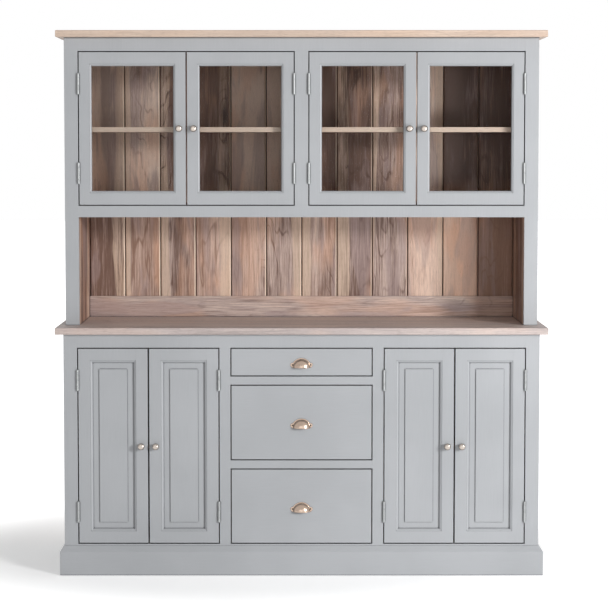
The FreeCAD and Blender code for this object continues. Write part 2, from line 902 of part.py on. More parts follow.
tight_bore = cell["pin_radius"]
free_bore = cell["pin_radius"] + cell["pin_fit"]
frame_leaf = hinge_leaf("frame_leaf", (-half_gap, cell["leaf_thickness"] - half_gap), 0, tight_bore)
door_leaf = hinge_leaf("door_leaf", (half_gap - cell["leaf_thickness"], half_gap), 1, free_bore)
right_frame_leaf = mirrored("right_frame_leaf", frame_leaf)
right_door_leaf = mirrored("right_door_leaf", door_leaf)
pin = hinge_pin()


def copy_at(name, source, x=ZERO, y=ZERO, z=ZERO):
    """The same piece once more, in another place."""
    copy = doc.addObject("Part::Compound", name)
    copy.Links = [source]
    return place(copy, x, y, z)


# Doors: two pairs in the base and two pairs in the hutch, the outer door of each pair and its
# neighbour hung on opposite sides

knob = turned_knob()
fixed_leaves = []
pins = []


def hang_door(name, left, width, face, bottom, height, hinge_share, hinged_left):
    """The knob and the hinges of a door whose left edge and bottom edge are given."""
    knob_x = left + width - cell["knob_inset"] if hinged_left else left + cell["knob_inset"]
    subpart(name + "_knob", [knob], knob_x, face, bottom + height / 2)
    axis_x = left - half_gap if hinged_left else left + width + half_gap
    axis_y = face - cell["knuckle_radius"]
    leaves = []
    inset = height * hinge_share
    lower = bottom + inset
    upper = bottom + height - inset - cell["hinge_length"]
    for end, z in (("lower", lower), ("upper", upper)):
        piece = "%s_%s" % (name, end)
        moving = door_leaf if hinged_left else right_door_leaf
        fixed = frame_leaf if hinged_left else right_frame_leaf
        leaves.append(copy_at(piece + "_leaf", moving, axis_x, axis_y, z))
        fixed_leaves.append(copy_at(piece + "_frame_leaf", fixed, axis_x, axis_y, z))
        pins.append(copy_at(piece + "_pin", pin, axis_x, axis_y, z))
    subpart(name + "_hinge_leaves", leaves)


def door_width(opening_width):
    """The width of each door of a pair."""
    return (opening_width - cell["door_gap"] * 2 - cell["meeting_gap"]) / 2


def door_places(openings, opening_width, width):
    """Left edges of the doors of each pair, given the left edges of their openings."""
    places = []
    for left in openings:
        places.append(left + cell["door_gap"])
        places.append(left + opening_width - cell["door_gap"] - width)
    return places


lower_width = door_width(base_opening)
lower_bottom = cell["base_opening_bottom"] + cell["door_gap"]
lower_height = base_opening_top - lower_bottom - cell["door_gap"]
panel_flat = cell["panel_stile_flat"]
lower_frame = door_frame(
    "lower", lower_width, lower_height, panel_section, panel_flat, panel_flat, cell["panel_bead"]
)
lower_panel = raised_panel(lower_width, lower_height)
lower_openings = [-inner_half, inner_half - base_opening]
for number, left in enumerate(door_places(lower_openings, base_opening, lower_width), start=1):
    name = "lower_door_%d" % number
    middle = left + lower_width / 2
    subpart(name + "_frame", lower_frame, middle, base_front, lower_bottom)
    subpart(name + "_panel", [lower_panel], middle, base_front, lower_bottom)
    share = cell["lower_hinge_share"]
    hang_door(name, left, lower_width, base_front, lower_bottom, lower_height, share, number % 2 == 1)

upper_width = door_width(hutch_opening)
upper_bottom = hutch_opening_bottom + cell["door_gap"]
upper_height = hutch_opening_top - upper_bottom - cell["door_gap"]
stile_flat = cell["glass_stile_flat"]
rail_flat = cell["glass_rail_flat"]
upper_frame = door_frame(
    "upper", upper_width, upper_height, glass_section, stile_flat, rail_flat, cell["glass_bead"]
)
upper_frame += glazing_bars(upper_width, upper_height)
pane_half = upper_width / 2 - stile_flat - cell["pane_play"]
pane_edge = rail_flat + cell["pane_play"]
pane = board(
    "pane",
    (-pane_half, pane_half),
    (rabbet_depth(), rabbet_depth() + cell["pane_thickness"]),
    (pane_edge, upper_height - pane_edge),
)
upper_openings = [-inner_half, cell["middle_stile"] / 2]
for number, left in enumerate(door_places(upper_openings, hutch_opening, upper_width), start=1):
    name = "upper_door_%d" % number
    middle = left + upper_width / 2
    subpart(name + "_frame", upper_frame, middle, hutch_front, upper_bottom)
    subpart(name + "_glass", [pane], middle, hutch_front, upper_bottom)
    share = cell["upper_hinge_share"]
    hang_door(name, left, upper_width, hutch_front, upper_bottom, upper_height, share, number % 2 == 1)

subpart("frame_hinge_leaves", fixed_leaves)
subpart("hinge_pins", pins)


# Cup pull: half of a thin ellipsoid bowl, open below, on a narrow flange with two screw ears


def ellipsoid(name, half_x, half_y, half_z):
    bowl = doc.addObject("Part::Ellipsoid", name)
    bind(bowl, "Radius1", half_z)
    bind(bowl, "Radius2", half_x)
    bind(bowl, "Radius3", half_y)
    return bowl


def cup_pull():
    half = cell["cup_width"] / 2
    wall = cell["cup_wall"]
    flange = cell["cup_flange_thickness"]
    wide = cell["cup_width"]
    high = cell["cup_height"] * 2
    rim_width = cell["cup_flange"]
    outer = common(
        "cup_outside",
        ellipsoid("cup_bowl", half, cell["cup_depth"], cell["cup_height"]),
        board("cup_quarter", (-wide, wide), (-(cell["cup_depth"] * 2), ZERO), (ZERO, high)),
    )
    rim = common(
        "cup_rim",
        ellipsoid("rim_bowl", half + rim_width, cell["cup_depth"] * 2, cell["cup_height"] + rim_width),
        board("rim_slice", (-wide, wide), (-flange, ZERO), (ZERO, high)),
    )
    forward = FreeCAD.Rotation(FreeCAD.Vector(1, 0, 0), 90)
    ears = []
    holes = []
    past = cell["overrun"]
    rise = cell["ear_rise"]
    for side, x in (("left", -cell["ear_reach"]), ("right", cell["ear_reach"])):
        ears.append(rod("ear_" + side, cell["ear_radius"], flange, x, ZERO, rise, forward))
        depth = flange + past * 2
        holes.append(rod("ear_hole_" + side, cell["ear_hole_radius"], depth, x, past, rise, forward))
    hollow = ellipsoid("cup_inside", half - wall, cell["cup_depth"] - wall, cell["cup_height"] - wall)
    return cut("cup_pull", fuse("cup_blank", [outer, rim] + ears), [hollow] + holes)


# Drawers. Each is made in its own frame: X from its middle, Y from its face, Z from the bottom
# edge of its front.


def dovetails(name, x, y, z, count):
    """Tails one above another, wide at the front of the joint and narrow at its back."""
    pitch = (z[1] - z[0]) / count
    wide = pitch * cell["tail_share"]
    narrow = wide - (y[1] - y[0]) * cell["tail_slope_share"] * 2
    tails = []
    for number in range(count):
        middle = z[0] + pitch * (number + 0.5)
        reaches = [(x, about(middle, width)) for width in (wide, narrow)]
        tails.append(tapered("%s_tail_%d" % (name, number + 1), y, *reaches))
    return tails


def drawer_box(name, opening_height, tail_count):
    """Two grooved sides dovetailed to an inner front, a back over the bottom, and the bottom in
    the grooves."""
    thickness = cell["frame_thickness"]
    wall = cell["drawer_wall"]
    half = base_opening / 2 - cell["drawer_side_play"]
    inner = half - wall
    y = (thickness, thickness + drawer_depth)
    low = cell["drawer_lift"] - cell["door_gap"]
    high = low + opening_height - cell["drawer_headroom"]
    bottom_z = (low + cell["drawer_bottom_raise"], low + cell["drawer_bottom_raise"] + cell["drawer_bottom"])
    groove = wall / 2
    past = cell["overrun"]
    groove_x = (-(inner + groove), inner + groove)
    joint_y = (y[0], y[0] + wall)
    tails = dovetails(name, (inner, half), joint_y, (low, high), tail_count)
    inner_front = cut(
        name + "_inner_front",
        board(name + "_inner_front_blank", (-half, half), joint_y, (low, high)),
        [board(name + "_front_groove", groove_x, (y[0] + groove, joint_y[1] + past), bottom_z)]
        + tails
        + [mirrored("%s_left_tail_%d" % (name, number), tail) for number, tail in enumerate(tails, start=1)],
    )
    past_ends = (y[0] - past, y[1] + past)
    side = cut(
        name + "_side",
        board(name + "_side_blank", (inner, half), y, (low, high)),
        [inner_front, board(name + "_side_groove", (inner - past, inner + groove), past_ends, bottom_z)],
    )
    rear = board(name + "_rear", (-inner, inner), (y[1] - wall, y[1]), (bottom_z[1], high))
    bottom = board(name + "_bottom", groove_x, (y[0] + groove, y[1]), bottom_z)
    return [mirrored(name + "_side_left", side), side, inner_front, rear, bottom]


pull = cup_pull()
for number, (top, bottom, tails) in enumerate(zip(drawer_tops, drawer_bottoms, TAIL_COUNTS), start=1):
    name = "drawer_%d" % number
    front_height = top - bottom - cell["door_gap"] * 2
    front_half = base_opening / 2 - cell["door_gap"]
    face_bottom = bottom + cell["door_gap"]
    slab_y = (ZERO, cell["frame_thickness"])
    slab = board(name + "_slab", (-front_half, front_half), slab_y, (ZERO, front_height))
    subpart(name + "_front", [slab], ZERO, base_front, face_bottom)
    subpart(name + "_box", drawer_box(name + "_box_part", top - bottom, tails), ZERO, base_front, face_bottom)
    pull_z = face_bottom + front_height / 2 - cell["cup_drop"]
    subpart(name + "_pull", [pull], ZERO, base_front, pull_z)


# Check every object and every node, then write the nodes

doc.recompute()
for item in doc.Objects:
    if {"Invalid", "Error"} & set(item.State):
        raise RuntimeError("%s failed: %s" % (item.Label, item.getStatusString()))
for item in subparts:
    if item.Shape.isNull() or not item.Shape.isValid() or not item.Shape.Solids:
        raise RuntimeError(item.Label + " has no valid solid")

os.makedirs("parts", exist_ok=True)
for item in subparts:
    item.Shape.exportStep("parts/%s.step" % item.Label)
    print(item.Label, len(item.Shape.Solids), "solids", round(item.Shape.Volume), "mm3")
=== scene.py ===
"""Finishes, small hardware and a photographic stage for a painted buffet cabinet.

The cabinet stands on the floor at z 0, with x to the right, y to the back and lengths in metres.
"""

import json
import math

import bpy
import numpy as np
from bpy.props import FloatProperty, FloatVectorProperty, PointerProperty
from bpy.types import Operator, Panel, PropertyGroup
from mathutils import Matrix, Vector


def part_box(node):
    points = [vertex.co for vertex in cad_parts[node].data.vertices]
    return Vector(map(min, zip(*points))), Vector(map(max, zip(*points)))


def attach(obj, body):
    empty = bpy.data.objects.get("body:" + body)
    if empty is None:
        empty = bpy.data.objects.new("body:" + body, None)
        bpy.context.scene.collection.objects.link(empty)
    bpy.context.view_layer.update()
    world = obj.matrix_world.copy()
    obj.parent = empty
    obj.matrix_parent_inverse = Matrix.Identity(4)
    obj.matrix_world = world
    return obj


bl_info = {
    "name": "Buffet cabinet finishes",
    "version": (1, 0, 0),
    "blender": (4, 5, 0),
    "location": "3D View > Sidebar > Cabinet",
    "description": "Paint, timber, glass and metal for a buffet cabinet, with its screws and stage",
    "category": "Object",
}

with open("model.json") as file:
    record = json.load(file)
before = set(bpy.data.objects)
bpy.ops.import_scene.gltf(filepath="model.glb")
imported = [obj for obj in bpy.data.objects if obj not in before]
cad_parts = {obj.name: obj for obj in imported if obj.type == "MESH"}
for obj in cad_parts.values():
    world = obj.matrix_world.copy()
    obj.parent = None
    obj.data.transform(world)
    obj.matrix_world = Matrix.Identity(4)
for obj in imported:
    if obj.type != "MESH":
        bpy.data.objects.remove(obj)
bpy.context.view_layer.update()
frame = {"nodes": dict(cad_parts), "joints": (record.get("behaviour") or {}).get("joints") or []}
NODES = frame["nodes"]
MM = 0.001
CARCASS = "carcass"
UPPER_DOORS = ["upper_door_%d" % number for number in range(1, 5)]
LOWER_DOORS = ["lower_door_%d" % number for number in range(1, 5)]
DRAWERS = ["drawer_%d" % number for number in range(1, 4)]


def linear(red, green, blue):
    """The linear colour of a red, green and blue that are written from 0 to 255."""
    shades = np.array([red, green, blue]) / 255.0
    low = shades / 12.92
    high = ((shades + 0.055) / 1.055) ** 2.4
    return tuple(float(shade) for shade in np.where(shades <= 0.04045, low, high))


def colour_property(name, description, red, green, blue):
    return FloatVectorProperty(
        name=name,
        description=description,
        subtype="COLOR",
        size=3,
        min=0.0,
        max=1.0,
        default=linear(red, green, blue),
    )


def length_property(name, description, metres):
    return FloatProperty(name=name, description=description, default=metres, unit="LENGTH")


def share_property(name, description, share):
    return FloatProperty(
        name=name,
        description=description,
        subtype="FACTOR",
        min=0.0,
        max=1.0,
        default=share,
    )


def number_property(name, description, number, **unit):
    return FloatProperty(name=name, description=description, default=number, **unit)


# Sizes and colours


class PaintSettings(PropertyGroup):
    colour: colour_property("Paint", "Colour of the painted wood", 174, 176, 179)
    shade: colour_property("Thin paint", "Colour where the brush left less paint", 165, 167, 170)
    # Painted shade: the colour that paint and timber darken to deep in gaps and corners, and its reach
    crevice_shade: colour_property("Crevice", "Dark paint deep in a gap or a corner", 30, 33, 37)
    crevice_shade_reach: length_property("Crevice reach", "How near a wall darkens the paint", 0.007)
    roughness: share_property("Roughness", "Roughness of the dry paint", 0.42)
    brush_width: length_property("Brush mark", "Width of one brush mark", 0.0016)
    edge_radius: length_property("Edge radius", "How round the painted edges look", 0.0009)


class TimberSettings(PropertyGroup):
    dark: colour_property("Dark timber", "Darkest streaks of the boards", 104, 76, 64)
    middle: colour_property("Middle timber", "Middle tone of the boards", 180, 157, 147)
    pale: colour_property("Pale timber", "Palest streaks of the boards", 228, 206, 190)
    sap: colour_property("Sapwood", "Tan wood along one edge of a board", 218, 192, 170)
    warm: colour_property("Warm patch", "Orange tan patches", 226, 178, 148)
    cool: colour_property("Cool patch", "Violet grey patches left by the limed oil", 160, 138, 134)
    knot: colour_property("Knot", "Centre of a knot", 68, 43, 32)
    limed: colour_property("Limed timber", "Pale tan of the worktop, top and shelves", 222, 206, 194)
    greyed: colour_property("Greyed timber", "Grey in the worktop and the back rail", 194, 188, 190)
    # Painted highlight: the lit flank of each joint between backboards
    painted_flank_highlight: colour_property("Joint flank", "Pale flank of a joint between backboards", 242, 220, 198)
    inner: colour_property("Plain timber", "Bare wood inside the base and the drawers", 206, 172, 136)
    edge_radius: length_property("Edge radius", "How round the boards' edges look", 0.0008)


class MetalSettings(PropertyGroup):
    nickel: colour_property("Nickel", "Warm nickel of the cup pulls", 180, 160, 145)
    silver: colour_property("Silver", "Cooler metal of the knobs", 172, 163, 155)
    hinge: colour_property("Hinge metal", "Paler metal of the hinges", 158, 160, 160)
    screw: colour_property("Screw metal", "Dark metal of the screws", 92, 84, 76)
    roughness: share_property("Roughness", "Roughness of the nickel", 0.22)
    edge_radius: length_property("Edge radius", "How round the metal's edges look", 0.0003)


class HardwareSizes(PropertyGroup):
    hinge_screw: length_property("Hinge screw", "Radius of a hinge screw's head", 0.0029)
    pull_screw: length_property("Pull screw", "Radius of a pull screw's head", 0.0031)
    screw_rise: length_property("Screw rise", "How far a pull screw's head stands proud", 0.0009)
    flush_rise: length_property("Flush rise", "How far a hinge screw's head stands proud", 0.0001)
    lip: length_property("Rolled lip", "Radius of the lip along a pull's lower edge", 0.0013)


class StageSettings(PropertyGroup):
    eye: FloatVectorProperty(
        name="Camera",
        description="Where the camera stands",
        subtype="XYZ",
        unit="LENGTH",
        size=3,
        default=(-0.009, -6.623, 1.58),
    )
    tilt: number_property("Tilt", "How far the camera looks down", math.radians(3.3), unit="ROTATION")
    lens: number_property("Lens", "Focal length on a 36 mm sensor", 104.41, unit="CAMERA")
    shift_x: number_property("Shift across", "Sideways shift of the lens", 0.0081)
    shift_y: number_property("Shift up", "Upward shift of the lens", -0.0939)
    floor_reach: length_property("Floor", "Distance from the middle of the floor to its edge", 30.0)
    key_power: number_property("Key light", "Power of the key light", 20.5, unit="POWER")
    far_power: number_property("Far light", "Power of the wide, far light", 515.0, unit="POWER")
    fill_power: number_property("Fill light", "Power of the soft front light", 62.0, unit="POWER")
    ambient: share_property("Ambient", "Strength of the light from all round", 0.3)
    floor_glow: number_property("Floor glow", "White that the camera sees added to the floor", 0.32)


# Shader maths


class Value:
    """A socket of a finish. Arithmetic on it adds Math nodes."""

    def __init__(self, finish, socket):
        self.finish = finish
        self.socket = socket

    def maths(self, operation, *others):
        inputs = dict(enumerate((self,) + others))
        return self.finish.node("ShaderNodeMath", {"operation": operation}, inputs)

    def output(self, name):
        return Value(self.finish, self.socket.node.outputs[name])

    def __add__(self, other):
        return self.maths("ADD", other)

    def __sub__(self, other):
        return self.maths("SUBTRACT", other)

    def __rsub__(self, other):
        return self.finish.node("ShaderNodeMath", {"operation": "SUBTRACT"}, {0: other, 1: self})

    def __mul__(self, other):
        return self.maths("MULTIPLY", other)

    def __truediv__(self, other):
        return self.maths("DIVIDE", other)

    def __pow__(self, other):
        return self.maths("POWER", other)

    def __gt__(self, other):
        return self.maths("GREATER_THAN", other)

    def __lt__(self, other):
        return self.maths("LESS_THAN", other)

    __radd__ = __add__
    __rmul__ = __mul__

    def between(self, low, high):
        """Zero at low and one at high, with a smooth rise."""
        options = {"interpolation_type": "SMOOTHSTEP"}
        sockets = {"Value": self, "From Min": low, "From Max": high}
        return self.finish.node("ShaderNodeMapRange", options, sockets)


class Graph:
    """A tree of nodes that is filled through one method."""

    def __init__(self, tree):
        self.tree = tree
        tree.nodes.clear()

    def node(self, kind, options, sockets, output=0):
        """Add a node: its options first, then its sockets' values or links."""
        made = self.tree.nodes.new(kind)
        for option, value in options.items():
            setattr(made, option, value)
        for key, value in sockets.items():
            if isinstance(value, Value):
                self.tree.links.new(value.socket, made.inputs[key])
            else:
                made.inputs[key].default_value = value
        return Value(self, made.outputs[output]) if made.outputs else None

    def seen_directly(self):
        """One where the camera looks, also through glass or in a shine, and zero elsewhere."""
        path = self.node("ShaderNodeLightPath", {}, {}, "Is Camera Ray")
        through = path.maths("MAXIMUM", path.output("Is Transmission Ray"))
        return through.maths("MAXIMUM", path.output("Is Glossy Ray"))


class Finish(Graph):
    """A material that is built from nodes on the piece's own coordinates."""

    def __init__(self, name):
        self.material = bpy.data.materials.new(name)
        self.material.use_nodes = True
        super().__init__(self.material.node_tree)
        self.place = self.node("ShaderNodeTexCoord", {}, {}, "Object")
        split = self.node("ShaderNodeSeparateXYZ", {}, {"Vector": self.place}, "X")
        self.axes = {"X": split, "Y": split.output("Y"), "Z": split.output("Z")}

    def vector(self, x, y, z):
        return self.node("ShaderNodeCombineXYZ", {}, {"X": x, "Y": y, "Z": z})

    def noise(self, vector, scale, detail=2.0, roughness=0.5, distortion=0.0):
        sockets = {
            "Vector": vector,
            "Scale": scale,
            "Detail": detail,
            "Roughness": roughness,
            "Distortion": distortion,
        }
        return self.node("ShaderNodeTexNoise", {}, sockets, "Fac")

    def mix(self, factor, first, second):
        """A colour between two, where each may be a plain colour or a Value."""
        colours = [colour if isinstance(colour, Value) else rgb(colour) for colour in (first, second)]
        sockets = {0: factor, 6: colours[0], 7: colours[1]}
        return self.node("ShaderNodeMix", {"data_type": "RGBA"}, sockets, 2)

    def red(self, colour):
        """The red of a colour. Its outputs Green and Blue are the other two."""
        return self.node("ShaderNodeSeparateColor", {}, {"Color": colour}, "Red")

    def bump(self, height, depth, strength, normal=None):
        sockets = {"Height": height, "Distance": depth, "Strength": strength}
        if normal is not None:
            sockets["Normal"] = normal
        return self.node("ShaderNodeBump", {}, sockets)

    def bands(self, factor, tones):
        """Even bands of grey over a factor from zero to one, without a blend between them."""
        made = self.node("ShaderNodeValToRGB", {}, {"Fac": factor})
        ramp = made.socket.node.color_ramp
        ramp.interpolation = "CONSTANT"
        for number, tone in enumerate(tones):
            place = number / len(tones)
            element = ramp.elements[number] if number < 2 else ramp.elements.new(place)
            element.position = place
            element.color = (tone, tone, tone, 1.0)
        return self.red(made)

    def surface(self, sockets):
        """Close the finish with one principled shader."""
        shader = self.node("ShaderNodeBsdfPrincipled", {}, sockets)
        self.node("ShaderNodeOutputMaterial", {}, {"Surface": shader})
        return self.material


def rgb(colour):
    """A colour as a socket takes it, with its fourth number."""
    return tuple(colour) + (1.0,)


def dress(names, material):
    """Give one material to the CAD nodes of these names."""
    for name in names:
        node = NODES[name]
        node.data.materials.clear()
        node.data.materials.append(material)


def settings():
    return bpy.context.scene.cabinet


# Paint and timber

# A noise by how often it repeats in a metre, its detail and its roughness. The brush marks
# repeat with the width of a mark instead, and along the grain only this share as often.
BRUSH_NOISE = (1.0, 3.0, 0.6)
BRUSH_STRETCH = 0.02
CLOUD_NOISE = (2.3, 3.0, 0.55)
FLECK_NOISE = (420.0, 2.0)

# The clouds' share in the paint's fullness, the levels between which the paint grows full, the
# brush marks' share in its height, and how much marks and clouds change its roughness
CLOUD_SHARE = 0.7
FULLNESS_LEVELS = (0.35, 0.65)
BRUSH_HEIGHT = 0.8
BRUSH_ROUGHNESS = 0.12
CLOUD_ROUGHNESS = 0.1

# How deep a finish's marks are in metres, and how much of that shows
PAINT_BUMP = (0.00012, 0.6)
TIMBER_BUMP = (0.00025, 0.5)
SIDE_BUMP = (0.00015, 0.5)

# How many rays look for a crevice or an edge at each point
CREVICE_SAMPLES = 8
EDGE_SAMPLES = 6

# Past this distance from the middle a side is painted, and nearer it is bare timber
SIDE_SPLIT = 0.851

# The open air round a point, out of one, where the painted shade in a crevice begins and where
# it is fully dark
CREVICE_AIR = (0.95, 0.3)

# The timber's noises, by how often they repeat in a metre across the grain and along it, with
# their detail, roughness and distortion
MARKS = {
    "broad": (17.0, 1.1, 2.0, 0.5, 0.0),
    "streak": (120.0, 4.0, 5.0, 0.7, 0.0),
    "grain": (260.0, 7.0, 3.0, 0.6, 0.0),
    "fibre": (650.0, 12.0, 3.0, 0.65, 0.0),
    "pores": (1500.0, 42.0, 1.0, 0.5, 0.0),
    "wander": (6.5, 1.9, 3.0, 0.5, 0.3),
    "calm": (9.0, 1.3, 2.0, 0.5, 0.0),
    "warm": (9.0, 2.6, 3.0, 0.5, 0.0),
    "cool": (14.0, 2.2, 3.0, 0.5, 0.8),
}

# The levels between which some of these noises grow into patches
PATCHES = {"pores": (0.6, 0.7), "calm": (0.42, 0.62), "warm": (0.5, 0.62), "cool": (0.5, 0.6)}

# The weight of each noise in a board's tone
TONE_WEIGHTS = {"broad": 1.5, "streak": 0.9, "grain": 1.3, "fibre": 1.3}

# How strongly the other marks show in the tone or the colour
STRENGTHS = {
    "board": 0.3,
    "line": 0.35,
    "swirl": 0.3,
    "deep": 0.8,
    "warm": 0.35,
    "cool": 0.6,
    "rim": 0.35,
    "heart": 0.85,
    "pores": 0.35,
}

# Tones between which the colour turns from dark to middle, from middle to pale and from dark to
# the colour of a knot, and between which patches and sapwood rise from nothing to full
MIDDLE_TONES = (0.0, 0.55)
PALE_TONES = (0.45, 1.0)
DEEP_TONES = (0.0, -0.5)
PATCH_TONES = (-0.6, 0.1)

# The sapwood's inner edge in board widths: how far it wanders, how far it differs from board to
# board, its least distance from the middle, how softly it ends, and the grey rim along it
EDGE_WANDER = 0.5
EDGE_CHANCE = 0.5
EDGE_LEAST = 0.06
EDGE_FADE = 0.05
RIM_PLACE = 0.01
RIM_WIDTH = 0.03

# How strong the sapwood is, apart from the streaks and by the streaks
SAP_STRENGTH = 0.2
SAP_STREAK = 0.9

# The chance values where a board begins to be warm and is warmest, and how warm it is then
WARM_CHANCE = (0.5, 1.0)
MOST_WARMTH = 0.25

# How much the streaks change the share of the limed colour
LIMED_STREAK = 0.5

# The timber's roughness, how much fibres and pores change it, and the shares of the marks in its
# height
TIMBER_ROUGHNESS = 0.52
FIBRE_ROUGHNESS = 0.2
PORE_ROUGHNESS = 0.1
FIBRE_HEIGHT = 0.6
STREAK_HEIGHT = 0.3
PORE_DEPTH = 0.5

# How far a board's three chance values move its noises across, along and through it, in metres
BOARD_SHIFTS = (7.3, 9.1, 5.7)

# Cells that may hold a knot repeat so often in a metre, and do above this chance value
KNOT_CELLS = (6.0, 2.4)
KNOT_CHANCE = 0.62

# Parts of a cell from its middle: where the grain stops bending, and where the heart fades out
SWIRL_REACH = 0.4
HEART_FADE = (0.02, 0.12)

# Fine lines to one unit of the slow noise, to a board's width and to the bend round a knot, and
# where between two lines the next one begins and is darkest
LINE_COUNTS = (11.0, 2.0, 3.0)
LINE_FADE = (0.7, 1.0)

# What is taken from the sum of a board's marks, so that its tone is near zero in dark wood and
# near one in pale wood, and what is taken besides from a backboard with a tone of its own
MARKS_TONE = 2.05
BACKBOARD_TONE = 1.1

# The backboards from left to right: how pale and how warm each is in the niche, where the tones
# are partly each board's own and partly painted shade, and behind the glass, where the tones and
# warmths are painted light and shade inside the cupboards, which starts between these two heights
NICHE_TONES_AND_SHADE = (0.76, 0.97, 0.96, 1.32, 1.08, 1.06, 1.01, 0.96, 1.0, 1.53, 1.3, 0.34)
GLASS_LIGHT_AND_SHADE_TONES = (1.8, 1.52, 0.8, 0.36, 1.9, 2.0, 0.38, 0.5, 1.0, 1.5, 0.1, 0.1)
NICHE_WARMTHS = (0.05, 0.2, 0.0, 0.25, 0.06, 0.0, 0.05, 0.0, 0.0, 0.3, 0.5, 0.28)
GLASS_LIGHT_AND_SHADE_WARMTHS = (0.0, 0.05, 0.02, 0.1, 0.15, 0.2, 0.05, 0.05, 0.05, 0.02, 0.03, 0.05)
GLASS_START = (1.33, 1.47)
BACKBOARDS = len(NICHE_TONES_AND_SHADE)

# Parts of a backboard's width where the joint beside it has the painted highlight on its flank
# and its dark groove
FLANK_START = (0.966, 0.973)
GROOVE_START = (0.992, 0.998)
GROOVE_END = (0.018, 0.032)

# The painted highlights on the flanks are faint to the right of the cabinet and full to the left,
# between these places
FLANK_FADE = (1.3, -0.5)

# How the boards of each timber lie: the axis along the grain, the axis across the boards, the
# width of a board and where the first one starts
LAYS = {
    "side": ("Z", "Y", 0.12, -0.2),
    "worktop": ("X", "Y", 0.112, -0.225),
    "top_board": ("X", "Y", 0.126, -0.153),
    "shelves": ("X", "Y", 0.15, -0.1),
    "floor": ("X", "Y", 0.16, -0.11),
    "partition": ("Z", "Y", 0.16, -0.11),
    "back_rail": ("X", "Z", 0.2, 0.85),
    "plain_level": ("X", "Y", 0.14, -0.2),
    "plain_upright": ("Z", "Y", 0.14, -0.2),
    "plain_deep": ("Y", "Z", 0.3, 0.1),
    "plain_back": ("Z", "X", 0.2, -0.9),
}


def painted_crevice_shade(finish):
    """Painted shade: one deep in a gap or a corner, where shade falls, and zero in the open."""
    reach = {"Distance": settings().paint.crevice_shade_reach}
    air = finish.node("ShaderNodeAmbientOcclusion", {"samples": CREVICE_SAMPLES}, reach, "AO")
    return air.between(*CREVICE_AIR)


def rounded(finish, radius):
    """A normal that turns softly over the edges."""
    return finish.node("ShaderNodeBevel", {"samples": EDGE_SAMPLES}, {"Radius": radius})


def painted(finish, grain):
    """Colour, roughness and height of brushed satin paint whose marks run along one axis."""
    paint = settings().paint
    across = 1.0 / paint.brush_width
    stretch = {axis: across * (BRUSH_STRETCH if axis == grain else 1.0) for axis in "XYZ"}
    marks_at = finish.vector(*(finish.axes[axis] * stretch[axis] for axis in "XYZ"))
    marks = finish.noise(marks_at, *BRUSH_NOISE)
    cloud = finish.noise(finish.place, *CLOUD_NOISE)
    fleck = finish.noise(finish.place, *FLECK_NOISE)
    fullness = cloud * CLOUD_SHARE + marks * (1.0 - CLOUD_SHARE)
    colour = finish.mix(fullness.between(*FULLNESS_LEVELS), paint.shade, paint.colour)
    # Painted shade: the paint darkens towards the crevice colour deep in gaps and corners
    colour = finish.mix(painted_crevice_shade(finish), colour, paint.crevice_shade)
    roughness = paint.roughness + (marks - 0.5) * BRUSH_ROUGHNESS
    roughness = roughness + (cloud - 0.5) * CLOUD_ROUGHNESS
    height = marks * BRUSH_HEIGHT + fleck * (1.0 - BRUSH_HEIGHT)
    return colour, roughness, height


def paint_finish(name, grain):
    finish = Finish(name)
    colour, roughness, height = painted(finish, grain)
    normal = finish.bump(height, *PAINT_BUMP, rounded(finish, settings().paint.edge_radius))
    return finish.surface({"Base Color": colour, "Roughness": roughness, "Normal": normal})


